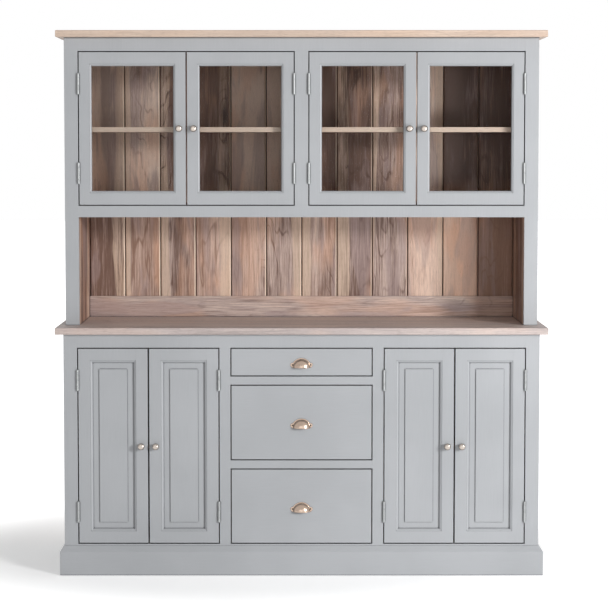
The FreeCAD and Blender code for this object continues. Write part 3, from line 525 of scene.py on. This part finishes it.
class Boards:
    """Boards that lie side by side across one axis, as a row of LAYS says.

    Every mark is a noise that is stretched along the grain, from broad bands down to single
    fibres. A board's own chance values shift the noises, so that no two boards are alike. Fine
    dark lines follow the levels of a slow noise, which a knot bends round itself, and each board
    has sapwood along one edge.
    """

    def __init__(self, finish, lay, seed, knots):
        along, across, width, start = lay
        through = ({"X", "Y", "Z"} - {along, across}).pop()
        self.finish = finish
        self.across, self.along, self.through = (finish.axes[axis] for axis in (across, along, through))
        steps = (self.across - start) / width
        self.number = steps.maths("FLOOR")
        self.local = steps.maths("FRACT")
        sockets = {"W": self.number + seed}
        chance = finish.node("ShaderNodeTexWhiteNoise", {"noise_dimensions": "1D"}, sockets, "Color")
        self.first_chance = finish.red(chance)
        self.second_chance = self.first_chance.output("Green")
        self.third_chance = self.first_chance.output("Blue")
        self.place = (
            self.across + self.first_chance * BOARD_SHIFTS[0],
            self.along + self.second_chance * BOARD_SHIFTS[1],
            self.through + self.third_chance * BOARD_SHIFTS[2],
        )
        self.marks = {name: self.noise(*numbers) for name, numbers in MARKS.items()}
        for name, levels in PATCHES.items():
            self.marks[name] = self.marks[name].between(*levels)
        cells = {"Vector": self.stretched(*KNOT_CELLS), "Scale": 1.0}
        self.near_knot = finish.node("ShaderNodeTexVoronoi", {"feature": "F1"}, cells, "Distance")
        lot = finish.red(self.near_knot.output("Color"))
        self.knotty = (lot > KNOT_CHANCE) * knots

    def stretched(self, across, along):
        """The place in the board's own noises, squeezed across the grain and through it."""
        scales = (across, along, across)
        return self.finish.vector(*(place * scale for place, scale in zip(self.place, scales)))

    def noise(self, across, along, detail, roughness, distortion):
        return self.finish.noise(self.stretched(across, along), 1.0, detail, roughness, distortion)

    def tone(self):
        """The sum of the marks, which is higher where the wood is paler."""
        swirl = (1.0 - self.near_knot.between(0.0, SWIRL_REACH)) * self.knotty
        slow, slant, bend = LINE_COUNTS
        level = (self.marks["wander"] * slow + self.local * slant + swirl * bend).maths("FRACT")
        line = ((level - 0.5).maths("ABSOLUTE") * 2.0).between(*LINE_FADE) * self.marks["calm"]
        tone = (self.second_chance - 0.5) * STRENGTHS["board"]
        for name, weight in TONE_WEIGHTS.items():
            tone = tone + self.marks[name] * weight
        return tone - line * STRENGTHS["line"] - swirl * STRENGTHS["swirl"]

    def backboard_tones_and_painted_light(self, front):
        """Each backboard's tone and warmth, with painted light and shade, which change behind the glass
        on its front face.
        """
        place = (self.number + 0.5) / BACKBOARDS
        rows = (NICHE_TONES_AND_SHADE, GLASS_LIGHT_AND_SHADE_TONES, NICHE_WARMTHS, GLASS_LIGHT_AND_SHADE_WARMTHS)
        low, high, warmth, warmth_above = (self.finish.bands(place, row) for row in rows)
        upper = self.along.between(*GLASS_START) * (self.through < front)
        return low + (high - low) * upper, warmth + (warmth_above - warmth) * upper

    def grained(self, tone, warmth):
        """Colour of the tone, with orange and violet patches and the sapwood along one edge."""
        wood = settings().timber
        mix = self.finish.mix
        colour = mix(tone.between(*MIDDLE_TONES), wood.dark, wood.middle)
        colour = mix(tone.between(*PALE_TONES), colour, wood.pale)
        colour = mix(tone.between(*DEEP_TONES) * STRENGTHS["deep"], colour, wood.knot)
        light = tone.between(*PATCH_TONES)
        colour = mix(self.marks["warm"] * light * STRENGTHS["warm"] + warmth, colour, wood.warm)
        cool = STRENGTHS["cool"] - warmth / 2
        colour = mix(self.marks["cool"] * light * cool, colour, wood.cool)
        side = (self.third_chance > 0.5) * 2.0 - 1.0
        edge = (self.local - 0.5) * side + (self.marks["wander"] - 0.5) * EDGE_WANDER
        edge = edge - self.second_chance * EDGE_CHANCE - EDGE_LEAST
        sap = edge.between(0.0, EDGE_FADE) * (SAP_STRENGTH + self.marks["streak"] * SAP_STREAK)
        colour = mix(sap * light, colour, wood.sap)
        rim = 1.0 - (edge - RIM_PLACE).maths("ABSOLUTE").between(0.0, RIM_WIDTH)
        return mix(rim * self.marks["calm"] * STRENGTHS["rim"], colour, wood.cool)

    def pitted(self, colour):
        """The colour with the hearts of knots and the pores in it."""
        wood = settings().timber
        heart = (1.0 - self.near_knot.between(*HEART_FADE)) * self.knotty
        colour = self.finish.mix(heart * STRENGTHS["heart"], colour, wood.knot)
        return self.finish.mix(self.marks["pores"] * STRENGTHS["pores"], colour, wood.dark)

    def jointed(self, colour):
        """The colour with a painted highlight on one flank and a dark groove at each joint between
        backboards.

        The grooves leave out the outer edges of the first board and the last one.
        """
        wood = settings().timber
        painted_flank_highlight = self.local.between(*FLANK_START) * self.across.between(*FLANK_FADE)
        colour = self.finish.mix(painted_flank_highlight, colour, wood.painted_flank_highlight)
        groove = (1.0 - self.local.between(*GROOVE_END)) * (self.number > 0.5)
        groove = groove + self.local.between(*GROOVE_START) * (self.number < BACKBOARDS - 1.5)
        return self.finish.mix(groove, colour, wood.knot)


def timber(finish, lay, seed, limed=0.0, plain=0.0, greyed=0.0, knots=1.0, shift=0.0, front=None):
    """Colour, roughness and height of timber.

    The shares limed, plain and greyed mix in those colours, knots is the strength of the knots
    and shift makes the wood paler. Backboards give the depth where their front faces end. They
    have tones of their own, with painted light and shade behind the glass, and joints with a
    painted highlight on one flank. Other timber has painted shade in its crevices.
    """
    wood = settings().timber
    boards = Boards(finish, lay, seed, knots)
    streak, fibre, pores = (boards.marks[name] for name in ("streak", "fibre", "pores"))
    tone = boards.tone()
    warmth = boards.first_chance.between(*WARM_CHANCE) * MOST_WARMTH
    if front is not None:
        # The backboards' own tones carry painted light and shade, above all behind the glass
        tone_and_painted_light, warmth = boards.backboard_tones_and_painted_light(front)
        tone = tone + tone_and_painted_light - BACKBOARD_TONE
    colour = boards.grained(tone + shift - MARKS_TONE, warmth)
    if plain:
        colour = finish.mix(plain, colour, wood.inner)
    if limed:
        colour = finish.mix((streak - 0.5) * LIMED_STREAK + limed, colour, wood.limed)
    if greyed:
        colour = finish.mix(greyed, colour, wood.greyed)
    colour = boards.pitted(colour)
    # Painted shade darkens the crevices of all timber but the backboards
    if front is None:
        colour = finish.mix(painted_crevice_shade(finish), colour, settings().paint.crevice_shade)
    else:
        colour = boards.jointed(colour)
    roughness = TIMBER_ROUGHNESS + (fibre - 0.5) * FIBRE_ROUGHNESS + pores * PORE_ROUGHNESS
    height = fibre * FIBRE_HEIGHT + streak * STREAK_HEIGHT - pores * PORE_DEPTH
    return colour, roughness, height


def timber_finish(name, lay, seed, **looks):
    finish = Finish(name)
    colour, roughness, height = timber(finish, lay, seed, **looks)
    normal = finish.bump(height, *TIMBER_BUMP, rounded(finish, settings().timber.edge_radius))
    return finish.surface({"Base Color": colour, "Roughness": roughness, "Normal": normal})


def side_finish(name, seed, **looks):
    """Paint on the outer face of a side and timber on its inner one."""
    finish = Finish(name)
    wood_colour, wood_rough, wood_height = timber(finish, LAYS["side"], seed, **looks)
    paint_colour, paint_rough, paint_height = painted(finish, "Z")
    outside = finish.axes["X"].maths("ABSOLUTE") > SIDE_SPLIT
    colour = finish.mix(outside, wood_colour, paint_colour)
    roughness = wood_rough + (paint_rough - wood_rough) * outside
    height = wood_height + (paint_height - wood_height) * outside
    normal = finish.bump(height, *SIDE_BUMP, rounded(finish, settings().paint.edge_radius))
    return finish.surface({"Base Color": colour, "Roughness": roughness, "Normal": normal})


class CABINET_OT_painted_wood(Operator):
    """Paint the frames, doors, drawer fronts and plinth"""

    bl_idname = "cabinet.painted_wood"
    bl_label = "Painted wood"

    def execute(self, context):
        upright = paint_finish("paint_upright", "Z")
        level = paint_finish("paint_level", "X")
        doors = [name + "_frame" for name in UPPER_DOORS + LOWER_DOORS]
        dress(["base_face_frame", "hutch_face_frame"] + doors, upright)
        dress([name + "_panel" for name in LOWER_DOORS], upright)
        dress([name + "_front" for name in DRAWERS] + ["base_plinth"], level)
        return {"FINISHED"}


class CABINET_OT_sides(Operator):
    """Paint the sides' outer faces and oil their inner ones"""

    bl_idname = "cabinet.sides"
    bl_label = "Sides"

    def execute(self, context):
        dress(["hutch_sides"], side_finish("side_hutch", seed=3.0, shift=-0.45))
        dress(["base_sides"], side_finish("side_base", seed=11.0, plain=0.5, knots=0.5))
        return {"FINISHED"}


class CABINET_OT_tops(Operator):
    """Finish the worktop and the top board in limed oil"""

    bl_idname = "cabinet.tops"
    bl_label = "Worktop and top board"

    def execute(self, context):
        looks = {"limed": 0.35, "greyed": 0.4, "knots": 0.0}
        dress(["worktop"], timber_finish("timber_worktop", LAYS["worktop"], seed=21.0, **looks))
        looks = {"limed": 0.45, "plain": 0.5, "knots": 0.0, "shift": 0.1}
        dress(["hutch_top"], timber_finish("timber_top_board", LAYS["top_board"], seed=27.0, **looks))
        return {"FINISHED"}


class CABINET_OT_backboards(Operator):
    """Give each backboard of the hutch its own timber"""

    bl_idname = "cabinet.backboards"
    bl_label = "Backboards"

    def execute(self, context):
        low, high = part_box("hutch_backboards")
        lay = ("Z", "X", (high.x - low.x) / BACKBOARDS, low.x)
        finish = timber_finish("timber_backboards", lay, seed=5.0, front=(low.y + high.y) / 2)
        dress(["hutch_backboards"], finish)
        return {"FINISHED"}


class CABINET_OT_hutch_inside(Operator):
    """Finish the hutch's shelves, floor, divider and back rail"""

    bl_idname = "cabinet.hutch_inside"
    bl_label = "Inside of the hutch"

    def execute(self, context):
        looks = {"limed": 0.55, "plain": 0.75, "knots": 0.0, "shift": 0.3}
        shelves = timber_finish("timber_shelves", LAYS["shelves"], seed=31.0, **looks)
        floor = timber_finish("timber_floor", LAYS["floor"], seed=37.0, limed=0.1)
        # Painted shade: shift darkens the divider and the door stops in it, so the gaps in front look
        # dark
        partition = timber_finish("timber_partition", LAYS["partition"], seed=41.0, shift=-0.5)
        rail = timber_finish("timber_back_rail", LAYS["back_rail"], seed=46.0, greyed=0.12, knots=0.0)
        dress(["hutch_shelves"], shelves)
        dress(["hutch_floor"], floor)
        dress(["hutch_partition"], partition)
        dress(["hutch_back_rail"], rail)
        return {"FINISHED"}


class CABINET_OT_base_inside(Operator):
    """Finish the plain timber inside the base and the drawers"""

    bl_idname = "cabinet.base_inside"
    bl_label = "Inside of the base"

    def execute(self, context):
        level = timber_finish("plain_level", LAYS["plain_level"], seed=51.0, plain=0.5, knots=0.5)
        upright = timber_finish("plain_upright", LAYS["plain_upright"], seed=53.0, plain=0.5, knots=0.5)
        deep = timber_finish("plain_deep", LAYS["plain_deep"], seed=57.0, plain=0.6, knots=0.4)
        back = timber_finish("plain_back", LAYS["plain_back"], seed=59.0, plain=0.45, knots=0.6)
        dress(["base_floor", "base_shelves"], level)
        dress(["base_partitions"], upright)
        dress(["drawer_runners"] + [name + "_box" for name in DRAWERS], deep)
        dress(["base_back"], back)
        return {"FINISHED"}


# Glass and metal

# The glass: its refraction, its colours without and with smears, the noises of its smears and
# waves, its roughness, and the most that it hides by its shine and by a smear
GLASS_INDEX = 1.45
GLASS_TINTS = (linear(20, 24, 23), linear(30, 34, 33))
SMEAR_NOISE = (3.0, 4.0, 0.6)
SMEAR_LEVELS = (0.45, 0.75)
WAVE_NOISE = (5.0, 1.0)
GLASS_BUMP = (0.0004, 0.4)
GLASS_ROUGHNESS = 0.03
SHINE_SHARE = 0.4
SMEAR_SHARE = 0.01

# The metals: the noises of their rubbing marks and dull spots, what is left of the colour in a
# dull spot, how much of that spots and marks mix in, and how much they change the roughness
RUB_NOISE = (1440.0, 3.0, 0.6)
DULL_NOISE = (55.0, 3.0, 0.5)
DULL_LEVELS = (0.5, 0.75)
DULL_SHARE = 0.72
DULL_MIX = 0.55
RUB_MIX = 0.15
MARK_ROUGHNESS = 0.1
METAL_BUMP = (0.00002, 0.4)

# How much rougher than the nickel the hinges and the knobs are, and how rough the screws are
HINGE_ROUGHER = 0.3
KNOB_ROUGHER = -0.02
HINGE_SCREW_ROUGHNESS = 0.35
PULL_SCREW_ROUGHNESS = 0.4


class CABINET_OT_panes(Operator):
    """Fit clear glass to the upper doors"""

    bl_idname = "cabinet.panes"
    bl_label = "Glass"

    def execute(self, context):
        finish = Finish("clear_glass")
        smear = finish.noise(finish.place, *SMEAR_NOISE)
        shine = finish.node("ShaderNodeFresnel", {}, {"IOR": GLASS_INDEX})
        sockets = {
            "Base Color": finish.mix(smear, *GLASS_TINTS),
            "Roughness": GLASS_ROUGHNESS + smear * GLASS_ROUGHNESS,
            "Alpha": shine * SHINE_SHARE + smear.between(*SMEAR_LEVELS) * SMEAR_SHARE,
            "Normal": finish.bump(finish.noise(finish.place, *WAVE_NOISE), *GLASS_BUMP),
        }
        dress([name + "_glass" for name in UPPER_DOORS], finish.surface(sockets))
        return {"FINISHED"}


def metal_finish(name, colour, roughness):
    """Metal with fine rubbing marks and a few dull spots."""
    finish = Finish(name)
    rub = finish.noise(finish.place, *RUB_NOISE)
    dull = finish.noise(finish.place, *DULL_NOISE).between(*DULL_LEVELS)
    darker = tuple(shade * DULL_SHARE for shade in colour)
    soft = rounded(finish, settings().metal.edge_radius)
    sockets = {
        "Base Color": finish.mix(dull * DULL_MIX + rub * RUB_MIX, colour, darker),
        "Metallic": 1.0,
        "Roughness": roughness + (rub - 0.5) * MARK_ROUGHNESS + dull * MARK_ROUGHNESS,
        "Normal": finish.bump(rub, *METAL_BUMP, soft),
    }
    return finish.surface(sockets)


class CABINET_OT_metalwork(Operator):
    """Finish the knobs, cup pulls and hinges"""

    bl_idname = "cabinet.metalwork"
    bl_label = "Metalwork"

    def execute(self, context):
        metal = settings().metal
        nickel = metal_finish("warm_nickel", metal.nickel, metal.roughness)
        steel = metal_finish("hinge_metal", metal.hinge, metal.roughness + HINGE_ROUGHER)
        silver = metal_finish("silver", metal.silver, metal.roughness + KNOB_ROUGHER)
        dress([name + "_knob" for name in UPPER_DOORS + LOWER_DOORS], silver)
        dress([name + "_pull" for name in DRAWERS], nickel)
        dress([name + "_hinge_leaves" for name in UPPER_DOORS + LOWER_DOORS], steel)
        dress(["frame_hinge_leaves", "hinge_pins"], steel)
        return {"FINISHED"}


# New pieces, worked out as whole arrays

UP = np.array([0.0, 0.0, 1.0])

# A screw head's grid: doubled rows at the rim and narrow rows at the slot's walls. The slot lies
# between these rows of the second one, and the dome drops by this part of its rise.
HEAD_ACROSS = np.array([-1.0, -1.0, -0.85, -0.3, 0.3, 0.85, 1.0, 1.0])
HEAD_ALONG = np.array([-1.0, -1.0, -0.85, -0.17, -0.15, 0.15, 0.17, 0.85, 1.0, 1.0])
SLOT_ROWS = slice(4, 6)
DOME_DROP = 0.7

# A hinge's length, its leaf's face from the hinge's axis, and its screws as parts of the length
# and as distances behind the axis
HINGE_LENGTH = 76 * MM
LEAF_FACE = 0.2 * MM
HINGE_ROWS = (0.13, 0.5, 0.87)
HINGE_DEPTHS = (11.5 * MM, 17.5 * MM, 11.5 * MM)

# A cup pull's lower edge, the screws in its ears and the thickness of its flange
LIP_HALF_WIDTH = 32.2 * MM
LIP_DEPTH = 24.2 * MM
LIP_TURNS = 49
LIP_RING = 12
EAR_REACH = 33.5 * MM
EAR_RISE = 10 * MM
FLANGE = 1.8 * MM

# How deep the screws' slots are
HINGE_SLOT = 0.8 * MM
PULL_SLOT = 0.6 * MM

# Seeds of the turns of the screws, to which a hinge's or a drawer's number is added
FIXED_SEED = 99
DOOR_SEED = 100
PULL_SEED = 200


def grid_faces(rows, columns, around=False):
    """Quads between neighbouring rows and columns; around joins the last column to the first."""
    count = columns if around else columns - 1
    row, column = np.meshgrid(np.arange(rows - 1), np.arange(count), indexing="ij")
    following = (column + 1) % columns
    corners = [row * columns + column, row * columns + following]
    corners += [(row + 1) * columns + following, (row + 1) * columns + column]
    return np.stack(corners, -1).reshape(-1, 4)


def build(name, points, faces, material, body):
    """Make a smooth metal piece that rides on a body."""
    mesh = bpy.data.meshes.new(name)
    mesh.from_pydata(points.reshape(-1, 3).tolist(), [], faces.tolist())
    mesh.validate()
    mesh.shade_smooth()
    mesh.materials.append(material)
    piece = bpy.data.objects.new(name, mesh)
    bpy.context.scene.collection.objects.link(piece)
    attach(piece, body)


def screw_head(radius, rise, sink):
    """A slotted head about +Z: a square grid pressed into a disc, where x is u times the root of
    one less half of v squared, and y the same with u and v changed. The rim drops by sink and
    the slot lies between the middle rows."""
    across, along = np.meshgrid(HEAD_ACROSS, HEAD_ALONG, indexing="ij")
    x = radius * across * np.sqrt(1 - along**2 / 2)
    y = radius * along * np.sqrt(1 - across**2 / 2)
    reach = np.sqrt(x**2 + y**2) / radius
    z = rise * (1 - DOME_DROP * reach**4)
    z[:, SLOT_ROWS] -= sink
    rim = np.zeros(z.shape, bool)
    rim[[0, -1], :] = True
    rim[:, [0, -1]] = True
    z[rim] = -sink
    return np.stack([x, y, z], -1).reshape(-1, 3), grid_faces(*z.shape)


def screws(places, outward, radius, rise, sink, seed):
    """Copies of a screw head at places, each facing outward and turned by its own angle."""
    head, faces = screw_head(radius, rise, sink)
    places = np.asarray(places, float)
    outward = np.asarray(outward, float)
    angle = np.random.default_rng(seed).uniform(0, math.tau, len(places))[:, None]
    side = np.cross(UP, outward)
    first = np.cos(angle) * side + np.sin(angle) * UP
    second = np.cross(outward, first)
    basis = np.stack([first, second, outward], 1)
    points = places[:, None] + np.einsum("kj,njm->nkm", head, basis)
    offsets = np.arange(len(places)) * len(head)
    return points, (faces[None] + offsets[:, None, None]).reshape(-1, 4)


def hinge_screw_places(joint, leaf):
    """Three screws on one leaf of each of a door's two hinges, and the sign of X that points from
    the hinge's axis to the door. The leaf is 1 for the door's leaves and -1 for the fixed ones."""
    name = joint["child"]
    x, y = joint["pos_m"][:2]
    low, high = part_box(name + "_frame")
    toward = 1.0 if (low.x + high.x) / 2 > x else -1.0
    lowest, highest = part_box(name + "_hinge_leaves")
    face = x + toward * leaf * LEAF_FACE
    places = []
    for bottom in (lowest.z, highest.z - HINGE_LENGTH):
        for row, depth in zip(HINGE_ROWS, HINGE_DEPTHS):
            places.append((face, y + depth, bottom + row * HINGE_LENGTH))
    return places, toward


class CABINET_OT_hinge_screws(Operator):
    """Drive countersunk screws into every hinge leaf"""

    bl_idname = "cabinet.hinge_screws"
    bl_label = "Hinge screws"

    def execute(self, context):
        sizes = settings().hardware
        head = (sizes.hinge_screw, sizes.flush_rise, HINGE_SLOT)
        steel = metal_finish("screw_steel", settings().metal.hinge, HINGE_SCREW_ROUGHNESS)
        hinges = [joint for joint in frame["joints"] if joint["type"] == "hinge"]
        fixed_places, fixed_outward = [], []
        for number, joint in enumerate(hinges):
            places, toward = hinge_screw_places(joint, 1.0)
            outward = [(-toward, 0.0, 0.0)] * len(places)
            points, faces = screws(places, outward, *head, DOOR_SEED + number)
            build(joint["child"] + "_screws", points, faces, steel, joint["child"])
            places, toward = hinge_screw_places(joint, -1.0)
            fixed_places += places
            fixed_outward += [(toward, 0.0, 0.0)] * len(places)
        points, faces = screws(fixed_places, fixed_outward, *head, FIXED_SEED)
        build("frame_hinge_screws", points, faces, steel, CARCASS)
        return {"FINISHED"}


def rolled_lip(centre, half_width, depth, radius):
    """A tube along the lower edge of a cup: its middle line is half an ellipse, x being half_width
    times the cosine and y minus depth times the sine, and a circle of the radius stands square to
    it. The radius shrinks to nothing at both ends."""
    turn = np.linspace(0.0, math.pi, LIP_TURNS)
    ring = np.linspace(0.0, math.tau, LIP_RING, endpoint=False)
    taper = np.ones_like(turn)
    taper[[0, -1]] = 0.0
    middle = np.stack([half_width * np.cos(turn), -depth * np.sin(turn), 0 * turn], -1)
    normal = np.stack([depth * np.cos(turn), -half_width * np.sin(turn), 0 * turn], -1)
    normal /= np.linalg.norm(normal, axis=-1, keepdims=True)
    circle = np.cos(ring)[None, :, None] * normal[:, None] + np.sin(ring)[None, :, None] * UP
    points = middle[:, None] + radius * taper[:, None, None] * circle + np.asarray(centre)
    return points, grid_faces(LIP_TURNS, LIP_RING, around=True)[:, ::-1]


class CABINET_OT_pull_details(Operator):
    """Add the rolled lip and the two slotted screws of each cup pull"""

    bl_idname = "cabinet.pull_details"
    bl_label = "Cup pull details"

    def execute(self, context):
        sizes = settings().hardware
        head = (sizes.pull_screw, sizes.screw_rise, PULL_SLOT)
        nickel = bpy.data.materials["warm_nickel"]
        dark = metal_finish("screw_dark", settings().metal.screw, PULL_SCREW_ROUGHNESS)
        outward = [(0.0, -1.0, 0.0)] * 2
        for number, name in enumerate(DRAWERS):
            low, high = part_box(name + "_pull")
            middle = (low.x + high.x) / 2
            lip_at = (middle, high.y, low.z + sizes.lip)
            points, faces = rolled_lip(lip_at, LIP_HALF_WIDTH, LIP_DEPTH, sizes.lip)
            build(name + "_pull_lip", points, faces, nickel, name)
            ears = (middle - EAR_REACH, middle + EAR_REACH)
            places = [(ear, high.y - FLANGE, low.z + EAR_RISE) for ear in ears]
            points, faces = screws(places, outward, *head, PULL_SEED + number)
            build(name + "_pull_screws", points, faces, dark, name)
        return {"FINISHED"}


# Stage

# Each light by where it stands, what it faces, its width, its height and its colour
LAMPS = {
    "key": ((1.9, -2.35, 1.15), (0.0, -0.1, 1.0), 0.35, 0.45, (0.97, 0.985, 1.0)),
    "far": ((6.75, -7.1, 3.2), (0.0, 0.0, 1.0), 1.4, 1.4, (1.0, 1.0, 1.0)),
    "fill": ((-0.5, -9.0, 2.2), (0.0, 0.0, 1.1), 6.0, 3.0, (1.0, 1.0, 1.0)),
}
FLOOR_POINTS = 9
FLOOR_COLOURS = ((0.92, 0.92, 0.92), (0.96, 0.96, 0.96))
BLACK = (0.0, 0.0, 0.0)
WHITE = (1.0, 1.0, 1.0)

# The middle of the floor's shadow, which is this much narrower from front to back than across,
# how far from it the floor begins to glow more and glows most, the same for the distance behind
# the cabinet, and how much that second part adds
SHADOW_MIDDLE = (-0.2, 0.3)
SHADOW_NARROWER = 1.3
GLOW_AWAY = (0.9, 2.0)
GLOW_BEHIND = (0.2, 1.1)
GLOW_BEHIND_SHARE = 0.4
FLOOR_ROUGHNESS = 0.8
SPECK_NOISE = (30.0, 3.0)

# The width of the camera's sensor in millimetres
SENSOR_WIDTH = 36.0


def area_light(lamp_name, power):
    place, aim, width, height, colour = LAMPS[lamp_name]
    lamp = bpy.data.lights.new(lamp_name + "_light", "AREA")
    lamp.shape = "RECTANGLE"
    lamp.size = width
    lamp.size_y = height
    lamp.energy = power
    lamp.color = colour
    holder = bpy.data.objects.new(lamp_name + "_light", lamp)
    bpy.context.scene.collection.objects.link(holder)
    holder.location = place
    direction = np.asarray(aim, float) - np.asarray(place, float)
    lean = math.atan2(math.hypot(direction[0], direction[1]), -direction[2])
    turn = math.atan2(-direction[0], direction[1])
    holder.rotation_euler = (lean, 0.0, turn)


class CABINET_OT_stage(Operator):
    """Set up the floor, the lights, the white surroundings and the camera"""

    bl_idname = "cabinet.stage"
    bl_label = "Stage"

    def execute(self, context):
        stage = settings().stage
        self.floor(stage)
        self.surroundings(stage)
        area_light("key", stage.key_power)
        area_light("far", stage.far_power)
        area_light("fill", stage.fill_power)
        self.camera(stage)
        context.scene.view_settings.view_transform = "Standard"
        return {"FINISHED"}

    def floor(self, stage):
        """A flat square grid of points with the cabinet in its middle."""
        steps = np.linspace(-stage.floor_reach, stage.floor_reach, FLOOR_POINTS)
        x, y = np.meshgrid(steps, steps, indexing="ij")
        points = np.stack([x, y, 0 * x], -1)
        faces = grid_faces(FLOOR_POINTS, FLOOR_POINTS)
        mesh = bpy.data.meshes.new("floor")
        mesh.from_pydata(points.reshape(-1, 3).tolist(), [], faces.tolist())
        mesh.materials.append(self.floor_finish(stage))
        piece = bpy.data.objects.new("floor", mesh)
        bpy.context.scene.collection.objects.link(piece)

    def floor_finish(self, stage):
        """White that glows a little for the camera, and more away from the cabinet's shadow."""
        finish = Finish("floor_white")
        across = finish.axes["X"] - SHADOW_MIDDLE[0]
        deep = (finish.axes["Y"] - SHADOW_MIDDLE[1]) * SHADOW_NARROWER
        away = (across * across + deep * deep) ** 0.5
        behind = finish.axes["Y"].between(*GLOW_BEHIND) * GLOW_BEHIND_SHARE
        glow = finish.seen_directly() * (stage.floor_glow + (away.between(*GLOW_AWAY) + behind))
        speck = finish.noise(finish.place, *SPECK_NOISE)
        sockets = {
            "Base Color": finish.mix(speck, *FLOOR_COLOURS),
            "Roughness": FLOOR_ROUGHNESS,
            "Emission Color": finish.mix(glow, BLACK, WHITE),
            "Emission Strength": 1.0,
        }
        return finish.surface(sockets)

    def surroundings(self, stage):
        """A world that is white to look at and lights the cabinet evenly."""
        world = bpy.data.worlds.new("surroundings")
        world.use_nodes = True
        bpy.context.scene.world = world
        graph = Graph(world.node_tree)
        strength = graph.seen_directly() * (1.0 - stage.ambient) + stage.ambient
        sockets = {"Color": rgb(WHITE), "Strength": strength}
        background = graph.node("ShaderNodeBackground", {}, sockets)
        graph.node("ShaderNodeOutputWorld", {}, {"Surface": background})

    def camera(self, stage):
        lens = bpy.data.cameras.new("camera")
        lens.sensor_width = SENSOR_WIDTH
        lens.lens = stage.lens
        lens.shift_x = stage.shift_x
        lens.shift_y = stage.shift_y
        holder = bpy.data.objects.new("camera", lens)
        bpy.context.scene.collection.objects.link(holder)
        holder.location = stage.eye
        holder.rotation_euler = (math.pi / 2 - stage.tilt, 0.0, 0.0)
        bpy.context.scene.camera = holder


class CabinetSettings(PropertyGroup):
    paint: PointerProperty(type=PaintSettings)
    timber: PointerProperty(type=TimberSettings)
    metal: PointerProperty(type=MetalSettings)
    hardware: PointerProperty(type=HardwareSizes)
    stage: PointerProperty(type=StageSettings)


OPERATORS = (
    CABINET_OT_painted_wood,
    CABINET_OT_sides,
    CABINET_OT_tops,
    CABINET_OT_backboards,
    CABINET_OT_hutch_inside,
    CABINET_OT_base_inside,
    CABINET_OT_panes,
    CABINET_OT_metalwork,
    CABINET_OT_hinge_screws,
    CABINET_OT_pull_details,
    CABINET_OT_stage,
)


class CABINET_PT_pieces(Panel):
    """Lists the steps that finish the cabinet"""

    bl_label = "Buffet cabinet"
    bl_idname = "CABINET_PT_pieces"
    bl_space_type = "VIEW_3D"
    bl_region_type = "UI"
    bl_category = "Cabinet"

    def draw(self, context):
        for operator in OPERATORS:
            self.layout.operator(operator.bl_idname)


GROUPS = (PaintSettings, TimberSettings, MetalSettings, HardwareSizes, StageSettings, CabinetSettings)
CLASSES = GROUPS + OPERATORS + (CABINET_PT_pieces,)


def register():
    for item in CLASSES:
        bpy.utils.register_class(item)
    bpy.types.Scene.cabinet = PointerProperty(type=CabinetSettings)


def unregister():
    del bpy.types.Scene.cabinet
    for item in reversed(CLASSES):
        bpy.utils.unregister_class(item)


def main():
    """Register the classes and run each step in order."""
    register()
    for operator in OPERATORS:
        family, step = operator.bl_idname.split(".")
        getattr(getattr(bpy.ops, family), step)()


if __name__ == "__main__":
    main()
